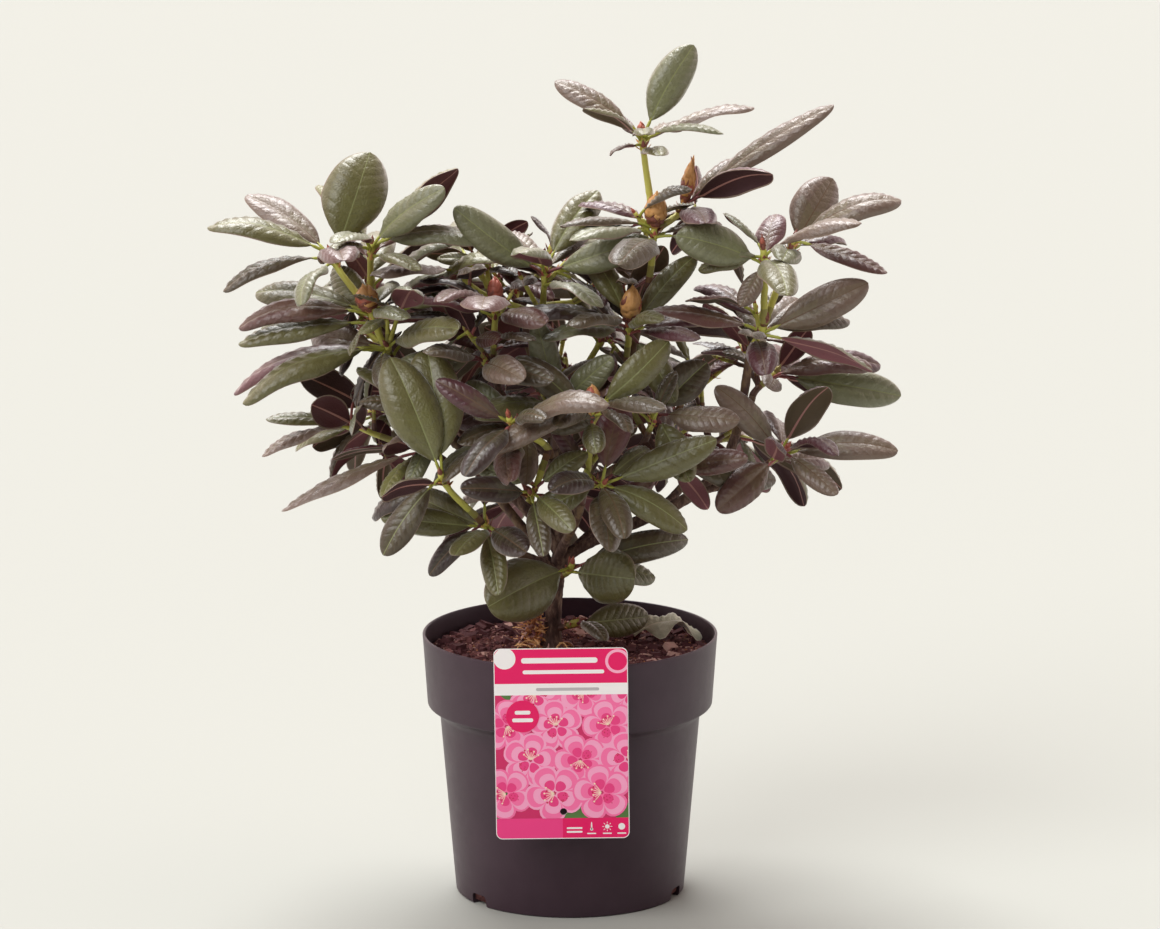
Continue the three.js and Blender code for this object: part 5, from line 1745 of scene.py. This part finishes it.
def litter_piece(top):
    """Bark chips and crumbs on the soil, and dry rootlets and a spent flower head by the trunk's foot."""
    dice = Dice(SEEDS.litter)
    pile = Pile()
    for kind in (CHIPS, CRUMBS):
        for _ in range(kind["count"]):
            add_chip(pile, kind, top, dice)
    foot = np.array(TRUNK["foot"], float)
    for _ in range(ROOTLETS.count):
        add_rootlet(pile, foot, dice)
    add_tuft(pile, foot, dice)
    finishes = tinted(LITTER_TINTS, 0.88, (700, 4, 0.6), 0.5, Specular_IOR_Level=0.3)
    made = pile.piece("soil_litter", finishes, ["soil"])
    made.data.polygons.foreach_set("use_smooth", [False] * len(made.data.polygons))


# ---------------------------------------------------------------- label
LABEL_BANDS = dict(top=27.5, strip=9, foot=16.3)  # heights of the printed bands, from the top and the foot
PICTURE_TOP = LABEL.height - LABEL_BANDS["top"] - LABEL_BANDS["strip"]
PRINT_RISE = 0.005  # each printed layer lies this far proud of the one below
WHITE_EDGE = 0.6  # width of the white edge round the card's front
INKS = {
    "card_white": (250, 246, 246), "card_pink": (236, 0, 100), "card_pale_pink": (255, 178, 208),
    "picture_ground": (214, 40, 104), "petal_light": (255, 168, 206), "petal_middle": (254, 116, 172),
    "petal_deep": (240, 62, 134), "throat_red": (206, 30, 70), "stamen_cream": (255, 226, 200),
    "print_green": (84, 124, 62), "card_back": (232, 229, 226, 0.45), "strip_grey": (190, 184, 188),
    "card_rose": (246, 62, 138),
}
(
    WHITE, PINK, PALE_PINK, GROUND, PETAL_LIGHT, PETAL_MIDDLE, PETAL_DEEP, THROAT, STAMEN, GREEN, CARD_BACK,
    GREY, ROSE,
) = range(len(INKS))


LABEL_INK = tinted(INKS, 0.3, (45, 3, 0.5), 0.25, 0.25, Specular_IOR_Level=0.4)


def ink(made, finish_of):
    """Gives a printed shape the label's finishes, each face by its middle."""
    for finish in LABEL_INK:
        made.data.materials.append(finish)
    for face in made.data.polygons:
        face.material_index = finish_of(face.center / MM)
    return made


def turned_flat(x, z, angle):
    """A place on the card, turned clockwise round the card's origin."""
    return x * math.cos(angle) + z * math.sin(angle), z * math.cos(angle) - x * math.sin(angle)


def hang(made):
    """Turns and lifts a print drawn flat on the card's own x and height to where the label hangs."""
    def hung(x, y, z):
        x, z = turned_flat(x, z - LABEL.height, -math.radians(LABEL.lean))
        return LABEL.centre_x + x, y - (POT.rim + CLEAR + LABEL.thick), LABEL.top_z + z

    reshape(made, hung)


def card():
    """A rounded card whose front is cut into printed bands inside a white edge."""
    width, height = LABEL.width, LABEL.height
    made = start_mesh(
        bpy.ops.mesh.primitive_plane_add, "label_card", size=1, rotation=(math.pi / 2, 0, 0),
        location=(0, 0, 0.5),
    )
    bpy.ops.transform.resize(value=(width * MM, 1, height * MM), center_override=(0, 0, 0))
    bpy.ops.mesh.bevel(offset=LABEL.corner * MM, segments=8, affect="VERTICES")
    top, strip, foot = height - LABEL_BANDS["top"], PICTURE_TOP, LABEL_BANDS["foot"]
    for level in (top, strip, foot):
        cut_along((0, 0, level), (0, 0, 1))
    cut_along((0, 0, 0), (1, 0, 0))
    select_all()
    bpy.ops.mesh.inset(thickness=WHITE_EDGE * MM)
    edit_mode(False)

    def printed(middle):
        if middle.z < foot:
            return PINK if middle.x > 0 else ROSE
        return PINK if middle.z > top else WHITE if middle.z > strip else GROUND

    ink(made, printed)
    for face in made.data.polygons:
        if not face.select:  # the inset leaves only what lies inside the edge selected
            face.material_index = WHITE
    return made


def flat_shape(name, finish, layer, sides, radius, at, size=(1, 1), turn=0.0, pinch=0.0):
    """A printed shape: a filled circle resized, pinched to one end, turned and laid on the card."""
    made = start_mesh(
        bpy.ops.mesh.primitive_circle_add, name, vertices=sides, radius=radius * MM, fill_type="NGON",
        rotation=(math.pi / 2, 0, 0),
    )
    bpy.ops.transform.resize(value=(size[0], 1, size[1]), center_override=(0, 0, 0))
    edit_mode(False)

    def laid(x, _, z):
        x, z = turned_flat(x * (1 + pinch * z / (radius * size[1])), z, turn)
        return at[0] + x, -PRINT_RISE * layer, at[1] + z

    reshape(made, laid)
    return ink(made, lambda middle: finish)


def bar(x, z, wide, high, finish, layer):
    """A printed bar with round ends, where a word would stand."""
    made = start_mesh(bpy.ops.mesh.primitive_plane_add, "bar", size=2 * MM, rotation=(math.pi / 2, 0, 0))
    bpy.ops.transform.resize(value=(wide, 1, high), center_override=(0, 0, 0))
    bpy.ops.mesh.bevel(offset=high * 0.9 * MM, segments=4, affect="VERTICES")
    edit_mode(False)
    for vertex in made.data.vertices:
        vertex.co += Vector((x, -PRINT_RISE * layer, z)) * MM
    return ink(made, lambda middle: finish)


def cut_off(made, side, top, foot=None):
    """Cuts a printed shape off at the card's sides and top, and at a foot if there is one."""
    edges = [((side, 0, 0), (1, 0, 0)), ((-side, 0, 0), (-1, 0, 0)), ((0, 0, top), (0, 0, 1))]
    if foot is not None:
        edges.append(((0, 0, foot), (0, 0, -1)))
    only(made)
    edit_mode(True)
    for place, normal in edges:
        cut_along(place, normal, clear_outer=True)
    edit_mode(False)
    return made


def out_from_heart(way, away):
    """A place on a print that lies this far away, at an angle clockwise from straight up."""
    return math.sin(way) * away, math.cos(way) * away


def blossom(tones, dice):
    """A generic open blossom, 10 mm to its petals' ends: petals with a deep heart, freckles, stamens."""
    light, middle, deep = tones
    shapes = []
    for k in range(5):
        way = k * 2 * math.pi / 5
        for layer, (away, wide, tone) in enumerate((
            (5.6, 4.6, light), (5.9, 3.7, middle), (4.6, 2.8, light), (3.1, 1.8, deep),
        )):
            at = out_from_heart(way, away)
            shapes.append(flat_shape("petal", tone, layer + 0.15 * k, 20, wide, at, (1, 1.1), way, 0.26))
    for k in range(11):
        way = 1.1 * (dice.throw() - 0.5)
        at = out_from_heart(way, dice.within((2, 5.4)))
        shapes.append(flat_shape("freckle", THROAT, 4 + 0.1 * k, 6, 0.22, at))
    for k in range(7):
        way = 2.4 + (k - 3) * 0.3
        long = dice.within((2.8, 4.6))
        half_way = out_from_heart(way, long / 2)
        shapes.append(flat_shape("stamen", STAMEN, 5.3 + 0.1 * k, 6, 0.14, half_way, (1, long * 3.5), way))
        end = out_from_heart(way, long)
        shapes.append(flat_shape("anther", THROAT if k % 2 else STAMEN, 6.2 + 0.1 * k, 8, 0.36, end))
    return joined(shapes, "blossom")


def joined(shapes, name):
    """Makes one object of several."""
    only(shapes[0])
    for shape in shapes[1:]:
        shape.select_set(True)
    bpy.ops.object.join()
    made = bpy.context.object
    made.name = made.data.name = name
    return made


BLOSSOM_ROWS = ((99, (-20, 17, 52)), (73, (-42, -4, 36)), (46, (-24, 14, 50)), (20, (-43, -6, 30)))
BLOSSOM_SIZES = (1.75, 2.15)
BLOSSOM_LAYERS = 7  # that one blossom's print takes up
PRINT_LEAVES = ((-44, 8, 0.6), (44, 8, -0.7), (44, 108, -2.2), (-46, 106, 2.3), (10, 4, 1.4))


def copy_blossom(model, x, z, layer, dice):
    """Another blossom like a model, turned and sized by the dice."""
    copy = model.copy()
    copy.data = model.data.copy()
    bpy.context.scene.collection.objects.link(copy)
    turn, size = dice.throw() * 2 * math.pi, dice.within(BLOSSOM_SIZES)

    def placed(own_x, own_y, own_z):
        own_x, own_z = turned_flat(own_x, own_z, turn)
        return x + size * own_x, own_y - PRINT_RISE * layer, z + size * own_z

    reshape(copy, placed)
    return copy


def picture():
    """Staggered rows of blossoms with leaves at the picture's corners, cut off at its edges."""
    dice = Dice(SEEDS.picture)
    foot = LABEL_BANDS["foot"]
    shapes = [
        flat_shape("print_leaf", GREEN, 1 + lean, 20, 14, (x, foot + z), (0.42, 1), turn + lean, -0.2)
        for x, z, turn in PRINT_LEAVES for lean in (-0.35, 0.35)
    ]
    tones = ((PETAL_LIGHT, PETAL_MIDDLE, PETAL_DEEP), (PETAL_MIDDLE, PETAL_LIGHT, PETAL_DEEP))
    models = [blossom(tone, dice) for tone in tones]
    for row, (z, spots) in enumerate(BLOSSOM_ROWS):
        for number, x in enumerate(spots):
            layer = 2 + BLOSSOM_LAYERS * (len(spots) * row + number)
            shapes.append(copy_blossom(models[(row + number) % 2], x, foot + z, layer, dice))
    for model in models:
        bpy.data.objects.remove(model)
    return cut_off(joined(shapes, "picture"), LABEL.width / 2 - WHITE_EDGE, PICTURE_TOP, foot)


BADGE = dict(x=-29.5, z=97, layer=90)  # lies over all blossoms
SIGN_X = (22, 34, 45)  # the three care signs at the card's foot


def signs():
    """Plain bars where words would stand, a disc and a ring on the top band, and care signs at the foot."""
    height, foot = LABEL.height, LABEL_BANDS["foot"]
    badge_x, badge_z, over = BADGE["x"], BADGE["z"], BADGE["layer"]
    tube_x, sun_x, round_x = SIGN_X
    shapes = [flat_shape(*row) for row in (
        ("disc", WHITE, 2, 40, 8.3, (-42.6, height - 7.8)),
        ("ring_outer", PALE_PINK, 3, 40, 9.4, (43.2, height - 10.6)),
        ("ring_inner", PINK, 5, 32, 7.2, (43.2, height - 10.6)),
        ("round_badge", PINK, over, 40, 12.5, (badge_x, badge_z)),
        ("tube_sign", WHITE, 2, 12, 1, (tube_x, foot - 6.5), (0.55, 3.4)),
        ("tube_bulb", WHITE, 2, 12, 1.2, (tube_x, foot - 9)),
        ("sun_sign", WHITE, 2, 20, 1.7, (sun_x, foot - 7)),
        ("round_sign", WHITE, 2, 24, 2.6, (round_x, foot - 7)),
    )]
    for shape in shapes[:2]:
        cut_off(shape, LABEL.width / 2 - 0.4, height - 0.4)
    for k in range(8):
        way = k * math.pi / 4
        x, z = out_from_heart(way, 3.1)
        shapes.append(flat_shape("sun_ray", WHITE, 2, 6, 1, (sun_x + x, foot - 7 + z), (0.28, 0.9), way))
    return shapes + [bar(*row) for row in (
        (-1, height - 9.5, 29, 2.1, WHITE, 3), (2, height - 18.5, 31, 1.5, WHITE, 3),
        (5, height - LABEL_BANDS["top"] - 4.6, 24, 1.2, GREY, 3),
        (badge_x, badge_z + 3, 6, 1.5, WHITE, over + 2), (badge_x, badge_z - 3, 8, 1.5, WHITE, over + 2),
        (9, foot - 8, 6, 0.7, WHITE, 3), (9, foot - 11, 6, 0.7, WHITE, 3),
        *[(x, foot - 12.4, 3.4, 0.5, WHITE, 3) for x in SIGN_X],
    )]


def tongue():
    """The strip behind the card, folded closely over the rim and down to the soil."""
    card_foot = LABEL.top_z - LABEL.height
    start = POT.height - card_foot + 1
    behind, over = LABEL.thick + 0.4, POT.wall + 2.6
    drop = start + 2 - (SOIL_TOP + CLEAR - card_foot)
    steps = [(0.4, 1.3), (1.1, 0.7), (over - 3, 0), (1.1, -0.7), (0.5, -1.6), (0.7, 4.3 - drop), (0.3, -1.6)]
    made = start_mesh(
        bpy.ops.mesh.primitive_plane_add, "label_strip", size=1, rotation=(math.pi / 2, 0, 0),
        location=(0, behind * MM, 0),
    )
    bpy.ops.transform.resize(value=(LABEL.tongue * MM, 1, 8 * MM), center_override=(0, behind * MM, 0))
    bpy.ops.transform.translate(value=(0, 0, (start - 4) * MM))
    pick_faces(made, lambda middle: False)
    edit_mode(False)
    for edge in made.data.edges:
        ends = [made.data.vertices[v].co.z for v in edge.vertices]
        edge.select = min(ends) > (start - 0.5) * MM
    edit_mode(True)
    bpy.ops.mesh.select_mode(type="EDGE")
    for back, up in steps:
        bpy.ops.mesh.extrude_region()
        bpy.ops.transform.translate(value=(0, back * MM, up * MM))
    edit_mode(False)
    return ink(made, lambda middle: WHITE)


NEAR_HOLE = 22  # printed faces this near to the punched hole are cut along its edge


def punch_print(printed):
    """Cuts the printed shapes over the punched hole along its edge, and takes away what lies in it."""
    def away(middle):
        return math.hypot(middle.x - LABEL.hole_x, middle.z - LABEL.hole_z)

    only(printed)
    edit_mode(True)
    hole = Vector((LABEL.hole_x, 0, LABEL.hole_z))
    for k in range(16):
        way = Vector((math.cos(k * math.pi / 8), 0, math.sin(k * math.pi / 8)))
        pick_faces(printed, lambda middle: away(middle) < NEAR_HOLE)
        bpy.ops.mesh.bisect(plane_co=(hole + LABEL.hole_radius * way) * MM, plane_no=way)
    pick_faces(printed, lambda middle: away(middle) < LABEL.hole_radius)
    bpy.ops.mesh.delete(type="FACE")
    edit_mode(False)


def label_piece():
    body, printed = card(), picture()
    modify(body, "SOLIDIFY", thickness=LABEL.thick * MM, offset=-1, material_offset=0)
    punch = start_mesh(
        bpy.ops.mesh.primitive_cylinder_add, "punch", vertices=32, radius=LABEL.hole_radius * MM,
        depth=0.01, rotation=(math.pi / 2, 0, 0), location=(LABEL.hole_x * MM, 0, LABEL.hole_z * MM),
    )
    cut_away(body, end_mesh(punch))
    punch_print(printed)
    for face in body.data.polygons:
        if face.normal.y > -0.5:
            face.material_index = CARD_BACK
    strip = tongue()
    modify(strip, "SOLIDIFY", thickness=0.6 * MM, offset=0)
    made = joined([body, strip, printed, *signs()], "label_card")
    hang(made)
    hand_in(made, ["label"])


# ---------------------------------------------------------------- floor, light and camera
def paper_floor():
    bpy.ops.object.select_all(action="DESELECT")
    bpy.ops.mesh.primitive_plane_add(size=40)
    floor = bpy.context.object
    floor.name = "floor"
    paper = Finish("pale_paper", srgb(167, 169, 163), 0.9, Specular_IOR_Level=0.1)
    floor.data.materials.append(paper.material)
    floor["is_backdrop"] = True


STUDIO = dict(tint=(1.0, 0.84, 0.8, 1), front=0.1, back=1.8, above=0.3, turn=(-0.8, 0.15))
# Each softbox: its power, its width in degrees, and how far it is turned down from overhead, back and aside.
SOFTBOXES = {"back_softbox": (4.3, 36, (-28, -8)), "front_softbox": (1.95, 42, (34, -38))}


def soft_light():
    """A bright studio behind and beside the plant, dimmer in front, and two broad softboxes above."""
    world = bpy.data.worlds.new("studio")
    world.use_nodes = True
    bpy.context.scene.world = world
    nodes, links = world.node_tree.nodes, world.node_tree.links
    background = nodes["Background"]
    background.inputs["Color"].default_value = STUDIO["tint"]
    way, parts, glow = (
        nodes.new(kind) for kind in ("ShaderNodeTexCoord", "ShaderNodeSeparateXYZ", "ShaderNodeMath")
    )
    glow.operation = "MULTIPLY"
    links.new(way.outputs["Generated"], parts.inputs["Vector"])
    for number, (axis, (low, high), first, last) in enumerate((
        ("Y", STUDIO["turn"], STUDIO["front"], STUDIO["back"]), ("Z", (0, 1), 1, STUDIO["above"]),
    )):
        level = nodes.new("ShaderNodeMapRange")
        level.interpolation_type = "SMOOTHSTEP"
        for socket, value in (("From Min", low), ("From Max", high), ("To Min", first), ("To Max", last)):
            level.inputs[socket].default_value = value
        links.new(parts.outputs[axis], level.inputs["Value"])
        links.new(level.outputs["Result"], glow.inputs[number])
    links.new(glow.outputs["Value"], background.inputs["Strength"])
    for name, (power, wide, turns) in SOFTBOXES.items():
        lamp = bpy.data.lights.new(name, "SUN")
        lamp.energy = power
        lamp.angle = math.radians(wide)
        placed = bpy.data.objects.new(name, lamp)
        placed.rotation_euler = (*(math.radians(turn) for turn in turns), 0)
        bpy.context.scene.collection.objects.link(placed)


# Its place in millimetres, its pitch in radians, and its focal length in widths of the sensor.
CAMERA = dict(place=(7.83, -4200, 1240.6), pitch=0.2114, sensor=36, focal=5541.7 / 1160)


def camera():
    eye = bpy.data.cameras.new("camera")
    eye.sensor_fit = "HORIZONTAL"
    eye.sensor_width = CAMERA["sensor"]
    eye.lens = CAMERA["sensor"] * CAMERA["focal"]
    eye.clip_end = 100
    placed = bpy.data.objects.new("camera", eye)
    placed.location = [c * MM for c in CAMERA["place"]]
    placed.rotation_euler = (math.pi / 2 - CAMERA["pitch"], 0, 0)
    bpy.context.scene.collection.objects.link(placed)
    bpy.context.scene.camera = placed


bpy.context.scene.view_settings.view_transform = "Standard"
camera()
soft_light()
paper_floor()
limbs, masses = grow_plant()
leaf_pieces(masses)
fallen_leaf()
twigs_piece(masses)
buds_piece(masses)
bark_piece(limbs)
pot_piece()
soil_pieces()
label_piece()

boxes = {"cad": cad_box, "visual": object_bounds()}
{name: [list(corner) for corner in box] for name, box in boxes.items()}
